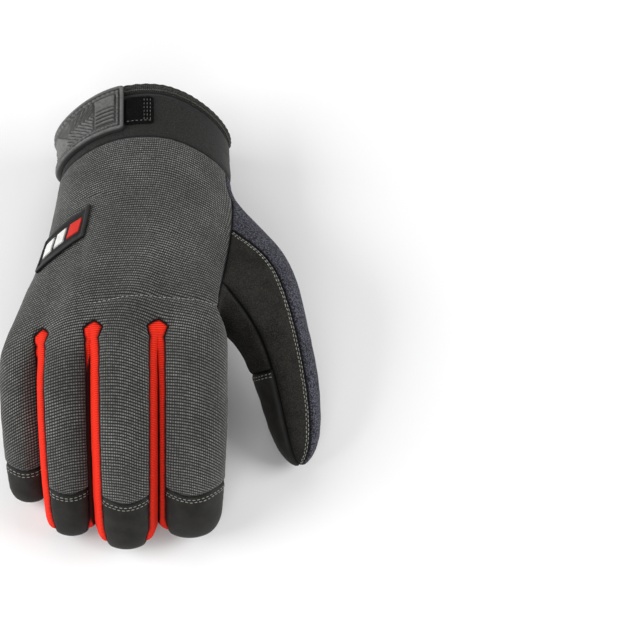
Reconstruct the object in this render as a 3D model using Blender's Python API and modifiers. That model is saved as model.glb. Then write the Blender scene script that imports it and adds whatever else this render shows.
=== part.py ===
"""Right-hand work glove lying palm down: +Z up, fingers towards -Y, thumb towards +X.

The origin is the middle of the flat badge under the cuff, on the surface that the glove lies on.
One smooth hollow form of the whole glove is made first. Every sewn panel is a region of that form
with its own wall, so neighbouring panels meet at their seams with a small gap.
"""

import math
from collections import namedtuple

import bmesh
import bpy
from mathutils import Vector
from mathutils.bvhtree import BVHTree

MM = 0.001

# Walls and the gap that stands for each seam
SEAM_GAP = 0.3 * MM
LEATHER_WALL = 1.3 * MM
KNIT_WALL = 1.6 * MM
GUSSET_WALL = 1.1 * MM
TERRY_WALL = 2.2 * MM
CUFF_WALL = 2.8 * MM

# Cuff
CUFF_WIDTH = 80 * MM
CUFF_HEIGHT = 50 * MM
CUFF_LENGTH = 30 * MM
CUFF_SAG = 3.5 * MM

# Closure strap, pull tab and badges
STRAP_THICKNESS = 2.8 * MM
PATCH_THICKNESS = 1.0 * MM
TAB_WIDTH = 19 * MM
TAB_THICKNESS = 1.2 * MM
TAB_FREE_LENGTH = 16 * MM
TAB_CORNER_DROP = 1.2 * MM
BADGE_THICKNESS = STRAP_THICKNESS - TAB_THICKNESS - SEAM_GAP
TAB_BADGE_WIDTH = 14 * MM
TAB_BADGE_LENGTH = 20 * MM
BACK_BADGE_LENGTH = 26 * MM
BACK_BADGE_WIDTH = 14 * MM
BACK_BADGE_THICKNESS = 1.8 * MM
BACK_BADGE_SLANT = 10 * MM
BACK_BADGE_LIFT = 0.5 * MM

# Hand, from the cuff seam to the row where the fingers start
HAND_LENGTH = 92 * MM
PALM_REACH = 16 * MM
WEB_REACH = 13 * MM
HAND_LIFT = 7 * MM
KNUCKLE_HEIGHT = 52 * MM

# Fingers, from the little finger to the index finger
LITTLE_LENGTH = 66 * MM
RING_LENGTH = 85 * MM
MIDDLE_LENGTH = 92 * MM
INDEX_LENGTH = 85 * MM
LITTLE_WIDTH = 18.5 * MM
RING_WIDTH = 21.8 * MM
MIDDLE_WIDTH = 26 * MM
INDEX_WIDTH = 29.5 * MM
LITTLE_DROP = 14 * MM
RING_DROP = 4 * MM
INDEX_DROP = 3 * MM
FINGER_FLATNESS = 0.88
FINGER_GAP = 1.3 * MM
KNUCKLES_SHIFT = -17 * MM
FINGER_START_PITCH = math.radians(8)
TIP_SINK = 1.2 * MM
GUSSET_TOP_RADIUS = 2.2 * MM
GUSSET_NECK = 4.6 * MM

# Thumb
THUMB_LENGTH = 84 * MM
THUMB_STAND_OFF = 26 * MM
THUMB_LEAN = 33 * MM
THUMB_WIDTH = 27 * MM
THUMB_THICKNESS = 25 * MM
THUMB_SINK = 6 * MM

Finger = namedtuple("Finger", "name length width drop lean")
FINGERS = (
    Finger("little", LITTLE_LENGTH, LITTLE_WIDTH, LITTLE_DROP, 0.05),
    Finger("ring", RING_LENGTH, RING_WIDTH, RING_DROP, 0.03),
    Finger("middle", MIDDLE_LENGTH, MIDDLE_WIDTH, 0.0, 0.01),
    Finger("index", INDEX_LENGTH, INDEX_WIDTH, INDEX_DROP, -0.01),
)

# Rings of a finger: place along its length, and sizes as shares of its width and thickness. The
# back of a ring leads towards the wrist, its palm side lags and its crown arcs towards the tip,
# as shares of the length
FingerRing = namedtuple("FingerRing", "place width crown pad lead lag arc")
FINGER_RINGS = (
    FingerRing(0.18, 1.00, 1.00, 0.86, 0.135, 0.04, 0.00),
    FingerRing(0.31, 1.01, 1.03, 1.06, 0.04, 0.015, 0.00),
    FingerRing(0.43, 0.99, 1.02, 0.88, 0.01, 0.00, 0.00),
    FingerRing(0.55, 0.98, 0.99, 1.06, 0.01, 0.00, 0.02),
    FingerRing(0.65, 0.97, 0.99, 0.96, 0.02, 0.00, 0.05),
    FingerRing(0.81, 0.94, 0.97, 1.06, 0.00, 0.00, 0.02),
    FingerRing(0.94, 0.91, 0.88, 0.88, 0.00, 0.00, 0.00),
)
CAP_FIRST_RING = 5
TIP_PLACE = 1.005

# Rows of the hand: place from the cuff seam to the fingers, blend from the cuff's outline to the
# knuckles', and bulges of the back, the heel and the flanks as shares of the knuckle height
HandRow = namedtuple("HandRow", "place blend back heel flank")
HAND_ROWS = (
    HandRow(0.00, 0.00, 0.00, 0.00, 0.00),
    HandRow(0.16, 0.10, 0.02, -0.02, 0.00),
    HandRow(0.38, 0.22, 0.07, -0.07, 0.00),
    HandRow(0.56, 0.40, 0.11, -0.12, 0.01),
    HandRow(0.73, 0.61, 0.12, -0.10, 0.01),
    HandRow(0.92, 0.88, 0.08, -0.02, 0.00),
    HandRow(1.00, 1.00, 0.00, 0.00, 0.00),
)
THUMB_FIRST_ROW = 1
THUMB_LAST_ROW = 5

# Rows of the cuff, from its rim past the strap to its seam: places along Y on the back, at the
# sides and under the palm, as shares of the cuff's length
CuffRow = namedtuple("CuffRow", "back side palm")
CUFF_ROWS = (
    CuffRow(0.58, 0.05, 0.42),
    CuffRow(0.53, -0.02, 0.22),
    CuffRow(-0.08, -0.50, -0.38),
    CuffRow(-0.20, -0.60, -0.50),
)
STRAP_ROW = 1
# Angles of the cuff's points round the back, from the little finger's side
CUFF_ANGLES = (160, 142, 124, 106, 84, 68, 52, 36, 20)

# Rings of the thumb: place on its path, and half sizes as shares of its width and thickness
ThumbRing = namedtuple("ThumbRing", "place width height")
THUMB_RINGS = (
    ThumbRing(0.12, 1.00, 0.76),
    ThumbRing(0.29, 0.84, 0.66),
    ThumbRing(0.47, 0.66, 0.60),
    ThumbRing(0.63, 0.57, 0.54),
    ThumbRing(0.78, 0.52, 0.50),
    ThumbRing(0.92, 0.41, 0.42),
)
THUMB_TIP_PLACE = 1.07
THUMB_PAD_FIRST_RING = 4

# Numbers of columns round the hand, and corners of a finger's cage
BACK_COLUMNS = 8
RING_SIZE = 20
INNER_SIDE = 9
OUTER_SIDE = 19
CORNER_SIDE = 0.84
CORNER_RISE = 0.72
CROWN_RISE = 1.17
FLANK_SIDE = 1.09

PANELS = (
    "back_panel",
    "palm_panel",
    "thumb_back_panel",
    "thumb_wipe_panel",
    "fourchette_little_ring",
    "fourchette_ring_middle",
    "fourchette_middle_index",
    "fingertip_cap_little",
    "fingertip_cap_ring",
    "fingertip_cap_middle",
    "fingertip_cap_index",
    "index_touch_pad",
    "thumb_touch_pad",
    "cuff_band",
    "cuff_closure",
    "cuff_patch",
)
PANEL = {name: number for number, name in enumerate(PANELS)}
GUSSETS = PANELS[4:7]
CAPS = PANELS[7:11]

# Columns of the cuff, from the little finger's side, that carry the closure strap and its patch
STRAP_COLUMNS = (15, 16, 17, 18, 19, 0, 1, 2)
PATCH_COLUMN = 3

Finish = namedtuple("Finish", "color roughness")
FINISHES = {
    "charcoal_knit": Finish((0.085, 0.088, 0.09, 1), 0.9),
    "black_synthetic_leather": Finish((0.022, 0.022, 0.021, 1), 0.8),
    "smooth_touch_leather": Finish((0.05, 0.05, 0.052, 1), 0.55),
    "red_stretch_fabric": Finish((0.75, 0.025, 0.012, 1), 0.75),
    "navy_terry": Finish((0.035, 0.037, 0.048, 1), 0.95),
    "black_neoprene": Finish((0.018, 0.018, 0.019, 1), 0.85),
    "grey_moulded_rubber": Finish((0.06, 0.062, 0.065, 1), 0.5),
    "black_webbing": Finish((0.02, 0.02, 0.02, 1), 0.85),
}


def clear_scene():
    for old in list(bpy.data.objects):
        bpy.data.objects.remove(old, do_unlink=True)


def finish(name):
    """The material of that name, made once."""
    found = bpy.data.materials.get(name)
    if found:
        return found
    made = bpy.data.materials.new(name)
    made.use_nodes = True
    shader = made.node_tree.nodes["Principled BSDF"]
    shader.inputs["Base Color"].default_value = FINISHES[name].color
    shader.inputs["Roughness"].default_value = FINISHES[name].roughness
    shader.inputs["Metallic"].default_value = 0.0
    return made


def cuff_angles():
    """Angles of the ring's points: back from the little side, inner side, palm, outer side."""
    back = [math.radians(angle) for angle in CUFF_ANGLES]
    palm = [math.radians(-20 - 17.5 * number) for number in range(BACK_COLUMNS + 1)]
    return back + [0.0] + palm + [math.pi]


def cuff_lift():
    """Height of the cuff's flattened underside above the surface."""
    return STRAP_THICKNESS + SEAM_GAP


def cuff_ring(row):
    """Points of the cuff at one of its rows."""
    centre_z = cuff_lift() - CUFF_SAG + CUFF_HEIGHT / 2
    ring = []
    for angle in cuff_angles():
        x, z = math.cos(angle) * CUFF_WIDTH / 2, math.sin(angle) * CUFF_HEIGHT / 2
        middle = row.back if z > 0 else row.palm
        share = row.side + (middle - row.side) * math.sin(angle) ** 2
        ring.append(Vector((x, CUFF_LENGTH * share, centre_z + z)))
    return ring


def finger_half_sizes(finger):
    return finger.width / 2, finger.width * FINGER_FLATNESS / 2


def finger_bases():
    """Middle of each finger where it leaves the hand. They stand side by side along an arch."""
    heights = [KNUCKLE_HEIGHT - finger.drop for finger in FINGERS]
    offsets = [0.0]
    for before, after in zip(range(3), range(1, 4)):
        reach = (FINGERS[before].width + FINGERS[after].width) / 2
        reach += FINGER_GAP
        step = heights[after] - heights[before]
        offsets.append(offsets[-1] + math.sqrt(max(reach**2 - step**2, (reach / 2) ** 2)))
    middle = (offsets[0] + offsets[-1]) / 2
    base_y = -CUFF_LENGTH / 2 - HAND_LENGTH - PALM_REACH / 2
    return [
        Vector((offset - middle + KNUCKLES_SHIFT, base_y, height))
        for offset, height in zip(offsets, heights)
    ]


def knuckle_ring(bases):
    """Points of the hand's last ring, where the fingers start."""
    back_y = -CUFF_LENGTH / 2 - HAND_LENGTH
    palm_y = back_y - PALM_REACH
    back, palm = [], []
    for number, (finger, base) in enumerate(zip(FINGERS, bases)):
        half_x, half_z = finger_half_sizes(finger)
        if number == 0:
            side = base.x - half_x * CORNER_SIDE
            back.append(Vector((side, back_y, base.z + half_z * CORNER_RISE)))
            palm.append(Vector((side, palm_y, base.z - half_z * CORNER_RISE)))
        back.append(Vector((base.x, back_y, base.z + half_z * CROWN_RISE)))
        palm.append(Vector((base.x, palm_y, base.z - half_z * CROWN_RISE)))
        if number + 1 < len(FINGERS):
            other, other_base = FINGERS[number + 1], bases[number + 1]
            side = (base.x + half_x + other_base.x - other.width / 2) / 2
            height = (base.z + other_base.z) / 2
            rise = (half_z + finger_half_sizes(other)[1]) / 2 * CORNER_RISE
        else:
            side = base.x + half_x * CORNER_SIDE
            height = base.z
            rise = half_z * CORNER_RISE
        back.append(Vector((side, back_y, height + rise)))
        palm.append(Vector((side, palm_y, height - rise)))
    web_y = back_y - PALM_REACH / 2
    first, last = FINGERS[0], FINGERS[-1]
    inner = Vector((bases[-1].x + last.width / 2 * FLANK_SIDE, web_y, bases[-1].z))
    outer = Vector((bases[0].x - first.width / 2 * FLANK_SIDE, web_y, bases[0].z))
    return back + [inner] + palm[::-1] + [outer]


def hand_ring(row, seam_ring, last_ring):
    """A ring of the hand between the cuff seam and the knuckles."""
    ring = []
    for number, (start, end) in enumerate(zip(seam_ring, last_ring)):
        point = start.lerp(end, row.blend)
        point.y = start.y + (end.y - start.y) * row.place
        if number <= BACK_COLUMNS:
            across = number / BACK_COLUMNS * 2 - 1
            point.z += KNUCKLE_HEIGHT * row.back * (1 - 0.5 * across**2)
        elif number == INNER_SIDE:
            point.x += KNUCKLE_HEIGHT * row.flank
        elif number < OUTER_SIDE:
            point.z += KNUCKLE_HEIGHT * row.heel + HAND_LIFT * math.sin(math.pi * row.place)
        else:
            point.x -= KNUCKLE_HEIGHT * row.flank
        ring.append(point)
    return ring


def finger_path(finger, base, end_pitch, steps=60):
    """Middle line of a finger that turns down evenly: (point, direction, up) by place."""
    place_step = TIP_PLACE / steps
    point = base.copy()
    path = []
    for step in range(steps + 1):
        place = step * place_step
        pitch = FINGER_START_PITCH + (end_pitch - FINGER_START_PITCH) * place
        along = Vector((finger.lean, -math.cos(pitch), -math.sin(pitch))).normalized()
        up = Vector((0, -math.sin(pitch), math.cos(pitch)))
        path.append((point.copy(), along, up))
        point += along * finger.length * place_step
    return path


def at_place(path, place):
    exact = place / TIP_PLACE * (len(path) - 1)
    low = min(int(exact), len(path) - 2)
    share = exact - low
    return tuple(a.lerp(b, share) for a, b in zip(path[low], path[low + 1]))


def curled_path(finger, base):
    """The finger's path, curled until the pad of its tip presses on the surface."""
    low, high = FINGER_START_PITCH, math.radians(150)
    last = FINGER_RINGS[-1]
    for _ in range(40):
        middle = (low + high) / 2
        point, _, up = at_place(finger_path(finger, base, middle), last.place)
        reach = finger_half_sizes(finger)[1] * last.pad
        if point.z - reach * max(up.z, 0.5) > -TIP_SINK:
            low = middle
        else:
            high = middle
    return finger_path(finger, base, (low + high) / 2)


def finger_ring(finger, path, ring):
    """Eight points round the finger: back left, crown, back right, flank, then the palm side."""
    point, along, up = at_place(path, ring.place)
    half_x, half_z = finger_half_sizes(finger)
    side = Vector((1, 0, 0)) * half_x * ring.width
    crown = up * half_z * ring.crown
    pad = up * half_z * ring.pad
    back = point - along * finger.length * ring.lead
    palm = point + along * finger.length * ring.lag
    return [
        back - side * CORNER_SIDE + crown * CORNER_RISE,
        back + crown * CROWN_RISE + along * finger.length * ring.arc,
        back + side * CORNER_SIDE + crown * CORNER_RISE,
        point + side * FLANK_SIDE,
        palm + side * CORNER_SIDE - pad * CORNER_RISE,
        palm - pad * CROWN_RISE,
        palm - side * CORNER_SIDE - pad * CORNER_RISE,
        point - side * FLANK_SIDE,
    ]


def thumb_path(base):
    """Control points of the thumb's middle line: hand, stand-off and tip."""
    low = THUMB_THICKNESS * THUMB_RINGS[-1].height - THUMB_SINK
    tip = Vector((base.x + THUMB_LEAN, base.y - THUMB_LENGTH, low))
    bend = Vector((base.x + THUMB_STAND_OFF, base.y - THUMB_LENGTH * 0.17, base.z * 0.9))
    return base, bend, tip


def thumb_ring(controls, ring):
    """Twelve points round the thumb, from its upper outer side over the top to the outer side."""
    start, bend, tip = controls
    t = ring.place
    point = start * (1 - t) ** 2 + bend * 2 * t * (1 - t) + tip * t**2
    along = ((bend - start) * (1 - t) + (tip - bend) * t).normalized()
    inward = along.cross(Vector((0, 0, 1))).normalized()
    up = inward.cross(along)
    points = []
    for number in range(12):
        angle = math.radians(150 - 30 * number)
        wide = inward * math.cos(angle) * THUMB_WIDTH * ring.width
        points.append(point + wide + up * math.sin(angle) * THUMB_THICKNESS * ring.height)
    return points


def bridge(cage, ring, other, panels, closed=True):
    """Quads between two rings of the cage. panels gives each column's panel, or None for a hole."""
    count = len(ring)
    for number in range(count if closed else count - 1):
        if panels[number] is None:
            continue
        after = (number + 1) % count
        corners = (ring[number], ring[after], other[after], other[number])
        cage.faces.new(corners).material_index = PANEL[panels[number]]


def cap_end(cage, ring, centre, panels, first=1):
    """Closes a ring with quads that meet at its tip. panels gives each quad's panel."""
    tip = cage.verts.new(centre)
    for number, panel in enumerate(panels):
        start = first + number * 2
        corners = [ring[(start + step) % len(ring)] for step in range(3)]
        cage.faces.new(corners + [tip]).material_index = PANEL[panel]


def add_cuff(cage, seam_verts):
    """The cuff's three bands. The middle one is also where the strap and its patch lie."""
    plain = ["cuff_band"] * RING_SIZE
    marked = plain[:]
    for column in STRAP_COLUMNS:
        marked[column] = "cuff_closure"
    marked[PATCH_COLUMN] = "cuff_patch"
    rings = [[cage.verts.new(point) for point in cuff_ring(row)] for row in CUFF_ROWS[:-1]]
    rings.append(seam_verts)
    for number, (ring, other) in enumerate(zip(rings, rings[1:])):
        bridge(cage, ring, other, marked if number == STRAP_ROW else plain)


def hand_columns(row):
    """The panel of each column of the hand in one row of quads."""
    wipe = row < THUMB_FIRST_ROW
    hole = THUMB_FIRST_ROW <= row < THUMB_LAST_ROW
    upper = None if hole else "thumb_wipe_panel" if wipe else "back_panel"
    lower = None if hole else "thumb_wipe_panel" if wipe else "palm_panel"
    return (
        ["back_panel"] * BACK_COLUMNS
        + [upper, lower]
        + ["palm_panel"] * BACK_COLUMNS
        + ["palm_panel", "back_panel"]
    )


def finger_columns(number, ring_number):
    """The panel of each of a finger's eight columns in one row of quads."""
    capped = ring_number >= CAP_FIRST_RING
    back = CAPS[number] if capped else "back_panel"
    palm = "index_touch_pad" if capped and FINGERS[number].name == "index" else "palm_panel"
    first, last = number == 0, number == len(FINGERS) - 1
    right = (back, palm) if last else (GUSSETS[number],) * 2
    left = (palm, back) if first else (GUSSETS[number - 1],) * 2
    return [back, back, *right, palm, palm, *left]


def add_fingers(cage, base_ring, bases):
    back = base_ring[: BACK_COLUMNS + 1]
    palm = base_ring[OUTER_SIDE - 1 : INNER_SIDE : -1]
    flanks = [base_ring[OUTER_SIDE]]
    for number in range(len(FINGERS) - 1):
        upper, lower = back[2 * number + 2].co, palm[2 * number + 2].co
        web = (upper + lower) / 2
        web.y = upper.y - WEB_REACH
        flanks.append(cage.verts.new(web))
    flanks.append(base_ring[INNER_SIDE])
    for number, (finger, base) in enumerate(zip(FINGERS, bases)):
        start = 2 * number
        ring = back[start : start + 3] + [flanks[number + 1]]
        ring += palm[start : start + 3][::-1] + [flanks[number]]
        path = curled_path(finger, base)
        for ring_number, section in enumerate(FINGER_RINGS):
            points = finger_ring(finger, path, section)
            other = [cage.verts.new(point) for point in points]
            bridge(cage, ring, other, finger_columns(number, ring_number))
            ring = other
        cap = CAPS[number]
        pad = "index_touch_pad" if finger.name == "index" else "palm_panel"
        cap_end(cage, ring, at_place(path, TIP_PLACE)[0], [cap, pad, pad, cap])


def thumb_columns(ring_number):
    pad = "thumb_touch_pad" if ring_number >= THUMB_PAD_FIRST_RING else "palm_panel"
    wipe = "thumb_wipe_panel"
    return [wipe] + ["thumb_back_panel"] * 2 + [pad] * 6 + [wipe] * 3


def add_thumb(cage, rows):
    span = range(THUMB_FIRST_ROW, THUMB_LAST_ROW + 1)
    ring = [rows[row][BACK_COLUMNS] for row in span] + [rows[THUMB_LAST_ROW][INNER_SIDE]]
    ring += [rows[row][INNER_SIDE + 1] for row in reversed(span)]
    ring += [rows[THUMB_FIRST_ROW][INNER_SIDE]]
    base = sum((vert.co for vert in ring), Vector()) / len(ring)
    controls = thumb_path(base)
    for ring_number, section in enumerate(THUMB_RINGS):
        other = [cage.verts.new(point) for point in thumb_ring(controls, section)]
        bridge(cage, ring, other, thumb_columns(ring_number))
        ring = other
    start, bend, tip = controls
    end = tip + (tip - bend).normalized() * THUMB_LENGTH * (THUMB_TIP_PLACE - 1)
    panels = ["thumb_back_panel"] + ["thumb_touch_pad"] * 3 + ["thumb_wipe_panel"] * 2
    cap_end(cage, ring, end, panels)


def glove_cage():
    """The coarse cage of the whole glove, open at the cuff's rim."""
    cage = bmesh.new()
    bases = finger_bases()
    seam, last = cuff_ring(CUFF_ROWS[-1]), knuckle_ring(bases)
    rows = [
        [cage.verts.new(point) for point in hand_ring(row, seam, last)] for row in HAND_ROWS
    ]
    add_cuff(cage, rows[0])
    for number, (row, other) in enumerate(zip(rows, rows[1:])):
        bridge(cage, row, other, hand_columns(number))
    add_fingers(cage, rows[-1], bases)
    add_thumb(cage, rows)
    round_gusset_tops(cage, rows[-1])
    bmesh.ops.recalc_face_normals(cage, faces=cage.faces)
    return cage


def round_gusset_tops(cage, knuckles):
    """Cuts each point between two fingers to a round end for the gusset."""
    for number, name in enumerate(GUSSETS):
        top = knuckles[2 * number + 2]
        middle = top.co.copy()
        made = bmesh.ops.bevel(
            cage,
            geom=[top],
            offset=GUSSET_TOP_RADIUS,
            offset_type="OFFSET",
            segments=1,
            profile=0.5,
            affect="VERTICES",
            material=-1,
        )
        for face in made["faces"]:
            face.material_index = PANEL[name]
        for vert in made["verts"]:
            aside = vert.co.x - middle.x
            if middle.y - vert.co.y > GUSSET_TOP_RADIUS / 2 and abs(aside) > GUSSET_NECK / 8:
                vert.co.x += math.copysign(GUSSET_NECK / 2 - abs(aside), aside)


def rest_on_surface(form):
    """Flattens the underside: the cuff on its strap, the rest on the surface itself."""
    for vert in form.verts:
        floor = cuff_lift() if vert.co.y > -CUFF_LENGTH * 0.8 else 0.0
        vert.co.z = max(vert.co.z, floor)


def glove_form():
    """The smooth form as a bmesh, its faces numbered by panel."""
    cage = glove_cage()
    mesh = bpy.data.meshes.new("glove_form")
    cage.to_mesh(mesh)
    cage.free()
    for name in PANELS:
        mesh.materials.append(finish("black_synthetic_leather"))
    guide = bpy.data.objects.new("glove_form", mesh)
    bpy.context.scene.collection.objects.link(guide)
    smooth = guide.modifiers.new("smooth", "SUBSURF")
    smooth.levels = smooth.render_levels = 1
    bpy.context.view_layer.update()
    evaluated = guide.evaluated_get(bpy.context.evaluated_depsgraph_get())
    form = bmesh.new()
    form.from_mesh(evaluated.to_mesh())
    evaluated.to_mesh_clear()
    bpy.data.objects.remove(guide)
    rest_on_surface(form)
    form.normal_update()
    return form


def keep_direction(bm):
    """Stores each point's number and outward direction, which stay true in a cut-out panel."""
    bm.verts.layers.int.new("number")
    layer = bm.verts.layers.float_vector.new("outward")
    number = bm.verts.layers.int["number"]
    for vert in bm.verts:
        vert[layer] = vert.normal
        vert[number] = vert.index
    return layer


def draw_back_border(bm, distance):
    """Pulls an open border in over its own surface, so that two panels leave a gap."""
    moves = {}
    for edge in bm.edges:
        if len(edge.link_faces) != 1:
            continue
        face = edge.link_faces[0]
        run = (edge.verts[1].co - edge.verts[0].co).normalized()
        inward = face.normal.cross(run)
        middle = (edge.verts[0].co + edge.verts[1].co) / 2
        if inward.dot(face.calc_center_median() - middle) < 0:
            inward.negate()
        for vert in edge.verts:
            moves.setdefault(vert, []).append(inward)
    for vert, inwards in moves.items():
        total = sum(inwards, Vector())
        reach = max((total / len(inwards)).length, 0.2)
        vert.co += total.normalized() * distance / reach


def walled(bm, layer, lift, wall):
    """Gives an open region a wall: its surface moves out by lift, and the wall goes inwards."""
    for vert in bm.verts:
        vert.co += vert[layer] * lift
    made = bmesh.ops.extrude_face_region(bm, geom=bm.faces[:], use_keep_orig=True)
    inner = {vert for vert in made["geom"] if isinstance(vert, bmesh.types.BMVert)}
    for vert in inner:
        vert.co -= vert[layer] * wall
    split_seam_walls(bm, inner)
    bmesh.ops.recalc_face_normals(bm, faces=bm.faces)


def split_seam_walls(bm, inner):
    """Cuts each wall quad along a seam the same way in both panels that meet there."""
    number = bm.verts.layers.int["number"]
    for face in bm.faces[:]:
        deep = [vert for vert in face.verts if vert in inner]
        if len(deep) == 2:
            outer = [vert for vert in face.verts if vert not in inner]
            start = max(outer, key=lambda vert: vert[number])
            end = min(deep, key=lambda vert: vert[number])
            bmesh.utils.face_split(face, start, end)


def add_part(name, bm, material, collection):
    mesh = bpy.data.meshes.new(name)
    bm.to_mesh(mesh)
    bm.free()
    mesh.materials.clear()
    mesh.materials.append(finish(material))
    for polygon in mesh.polygons:
        polygon.material_index = 0
    mesh.shade_smooth()
    mesh.set_sharp_from_angle(angle=math.radians(45))
    part = bpy.data.objects.new(name, mesh)
    collection.objects.link(part)
    return part


def region(form, keep):
    """A copy of the form with only the faces that keep says, and its direction layer."""
    cut = form.copy()
    cut.normal_update()
    layer = keep_direction(cut)
    gone = [face for face in cut.faces if not keep(face)]
    bmesh.ops.delete(cut, geom=gone, context="FACES")
    cut.normal_update()
    return cut, layer


def add_panel(form, name, wall, material, collection, names=()):
    """A sewn panel: the region of that name, or of all the names."""
    numbers = [PANEL[each] for each in names or (name,)]
    cut, layer = region(form, lambda face: face.material_index in numbers)
    draw_back_border(cut, SEAM_GAP / 2)
    walled(cut, layer, 0.0, wall)
    return add_part(name, cut, material, collection)


def add_cuff_overlay(form, name, thickness, material, collection):
    """A layer that lies on the cuff, over the region of its own name."""
    number = PANEL[name]
    cut, layer = region(form, lambda face: face.material_index == number)
    draw_back_border(cut, SEAM_GAP / 2)
    walled(cut, layer, thickness + SEAM_GAP, thickness)
    return add_part(name, cut, material, collection)


def add_binding(form, collection):
    """The rolled binding that closes the cuff's rim."""
    cut, layer = region(form, lambda face: True)
    rim = [edge for edge in cut.edges if len(edge.link_faces) == 1]
    edge = rim[0]
    vert = edge.verts[0]
    points = []
    for _ in rim:
        points.append(vert.co - vert[layer] * CUFF_WALL / 2)
        vert = edge.other_vert(vert)
        edge = next(other for other in vert.link_edges if other in rim and other is not edge)
    cut.free()
    radius = CUFF_WALL / 2
    curve = bpy.data.curves.new("cuff_binding", "CURVE")
    curve.dimensions = "3D"
    curve.bevel_depth = radius
    curve.bevel_resolution = 1
    spline = curve.splines.new("POLY")
    spline.points.add(len(points) - 1)
    spline.use_cyclic_u = True
    for place, point in zip(spline.points, points):
        place.co = (point.x, point.y + radius + SEAM_GAP, point.z, 1)
    curve.materials.append(finish("black_webbing"))
    binding = bpy.data.objects.new("cuff_binding", curve)
    collection.objects.link(binding)
    return binding


def slab(bottom, top, width, start, end, columns, rows):
    """A closed slab between two height functions of its place along Y."""
    bm = bmesh.new()
    bmesh.ops.create_grid(bm, x_segments=columns, y_segments=rows, size=0.5)
    layer = bm.verts.layers.float.new("along")
    for vert in bm.verts:
        along = start + (end - start) * (vert.co.y + 0.5)
        vert[layer] = along
        vert.co = Vector((vert.co.x * width, along, bottom(along)))
    made = bmesh.ops.extrude_face_region(bm, geom=bm.faces[:], use_keep_orig=True)
    for vert in made["geom"]:
        if isinstance(vert, bmesh.types.BMVert):
            vert.co.z = top(vert[layer])
    bmesh.ops.recalc_face_normals(bm, faces=bm.faces)
    return bm


def add_pull_tab(collection):
    """The webbing loop under the cuff, its free end past the rim, and the badge on it."""
    under = STRAP_THICKNESS - TAB_THICKNESS
    rim = CUFF_LENGTH * CUFF_ROWS[0].palm
    start = CUFF_LENGTH * CUFF_ROWS[-1].palm + SEAM_GAP

    def bottom(along):
        past = max(along - rim, 0.0) / TAB_FREE_LENGTH
        return under - TAB_CORNER_DROP * past**2

    def top(along):
        return bottom(along) + TAB_THICKNESS

    end = rim + TAB_FREE_LENGTH
    tab = slab(bottom, top, TAB_WIDTH, start, end, 2, 8)
    add_part("pull_tab", tab, "black_webbing", collection)
    reach = TAB_BADGE_LENGTH / 2
    badge = slab(
        lambda along: 0.0, lambda along: BADGE_THICKNESS, TAB_BADGE_WIDTH, -reach, reach, 1, 1
    )
    add_part("pull_tab_badge", badge, "grey_moulded_rubber", collection)


def add_back_badge(form, collection):
    """The slanted rubber badge on the back, near the little finger's side."""
    surface = BVHTree.FromBMesh(form)
    centre = Vector((-CUFF_WIDTH * 0.45, -CUFF_LENGTH / 2 - HAND_LENGTH * 0.5, 1))
    hit, _, _, _ = surface.ray_cast(centre, Vector((0, 0, -1)))
    outward = Vector((-0.55, 0.0, 0.83)).normalized()
    along = Vector((0.78, 0.55, 0.42))
    along = (along - outward * along.dot(outward)).normalized()
    across = outward.cross(along)
    bm = bmesh.new()
    bmesh.ops.create_grid(bm, x_segments=8, y_segments=4, size=0.5)
    for vert in bm.verts:
        u = vert.co.x * BACK_BADGE_LENGTH + vert.co.y * BACK_BADGE_SLANT
        v = vert.co.y * BACK_BADGE_WIDTH
        start = hit + along * u + across * v + outward * BACK_BADGE_LENGTH
        place, _, _, _ = surface.ray_cast(start, -outward)
        vert.co = place + outward * BACK_BADGE_LIFT
    made = bmesh.ops.extrude_face_region(bm, geom=bm.faces[:], use_keep_orig=True)
    for vert in made["geom"]:
        if isinstance(vert, bmesh.types.BMVert):
            vert.co += outward * BACK_BADGE_THICKNESS
    bmesh.ops.recalc_face_normals(bm, faces=bm.faces)
    add_part("back_badge", bm, "grey_moulded_rubber", collection)


def main():
    clear_scene()
    glove = bpy.data.collections.new("work_glove")
    bpy.context.scene.collection.children.link(glove)
    form = glove_form()
    leather, knit = "black_synthetic_leather", "charcoal_knit"
    add_panel(form, "back_panel", KNIT_WALL, knit, glove)
    add_panel(form, "palm_panel", LEATHER_WALL, leather, glove)
    add_panel(form, "thumb_back_panel", LEATHER_WALL, leather, glove)
    add_panel(form, "thumb_wipe_panel", TERRY_WALL, "navy_terry", glove)
    for name in GUSSETS:
        add_panel(form, name, GUSSET_WALL, "red_stretch_fabric", glove)
    for name in CAPS:
        add_panel(form, name, LEATHER_WALL, leather, glove)
    for name in ("index_touch_pad", "thumb_touch_pad"):
        add_panel(form, name, LEATHER_WALL, "smooth_touch_leather", glove)
    cuff = ("cuff_band", "cuff_closure", "cuff_patch")
    add_panel(form, "cuff_band", CUFF_WALL, "black_neoprene", glove, cuff)
    add_cuff_overlay(form, "cuff_closure", STRAP_THICKNESS, "grey_moulded_rubber", glove)
    add_cuff_overlay(form, "cuff_patch", PATCH_THICKNESS, "black_webbing", glove)
    add_binding(form, glove)
    add_pull_tab(glove)
    add_back_badge(form, glove)
    form.free()


main()
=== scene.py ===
"""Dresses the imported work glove: one smooth form of the glove is built over the CAD solids, cut into
its sewn panels, and given walls, seams, stitches, folds and finishes."""

import heapq
import math
from collections import namedtuple

import bmesh
import bpy
from mathutils import Matrix, Vector, noise
from mathutils.bvhtree import BVHTree
from mathutils.geometry import barycentric_transform


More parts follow.
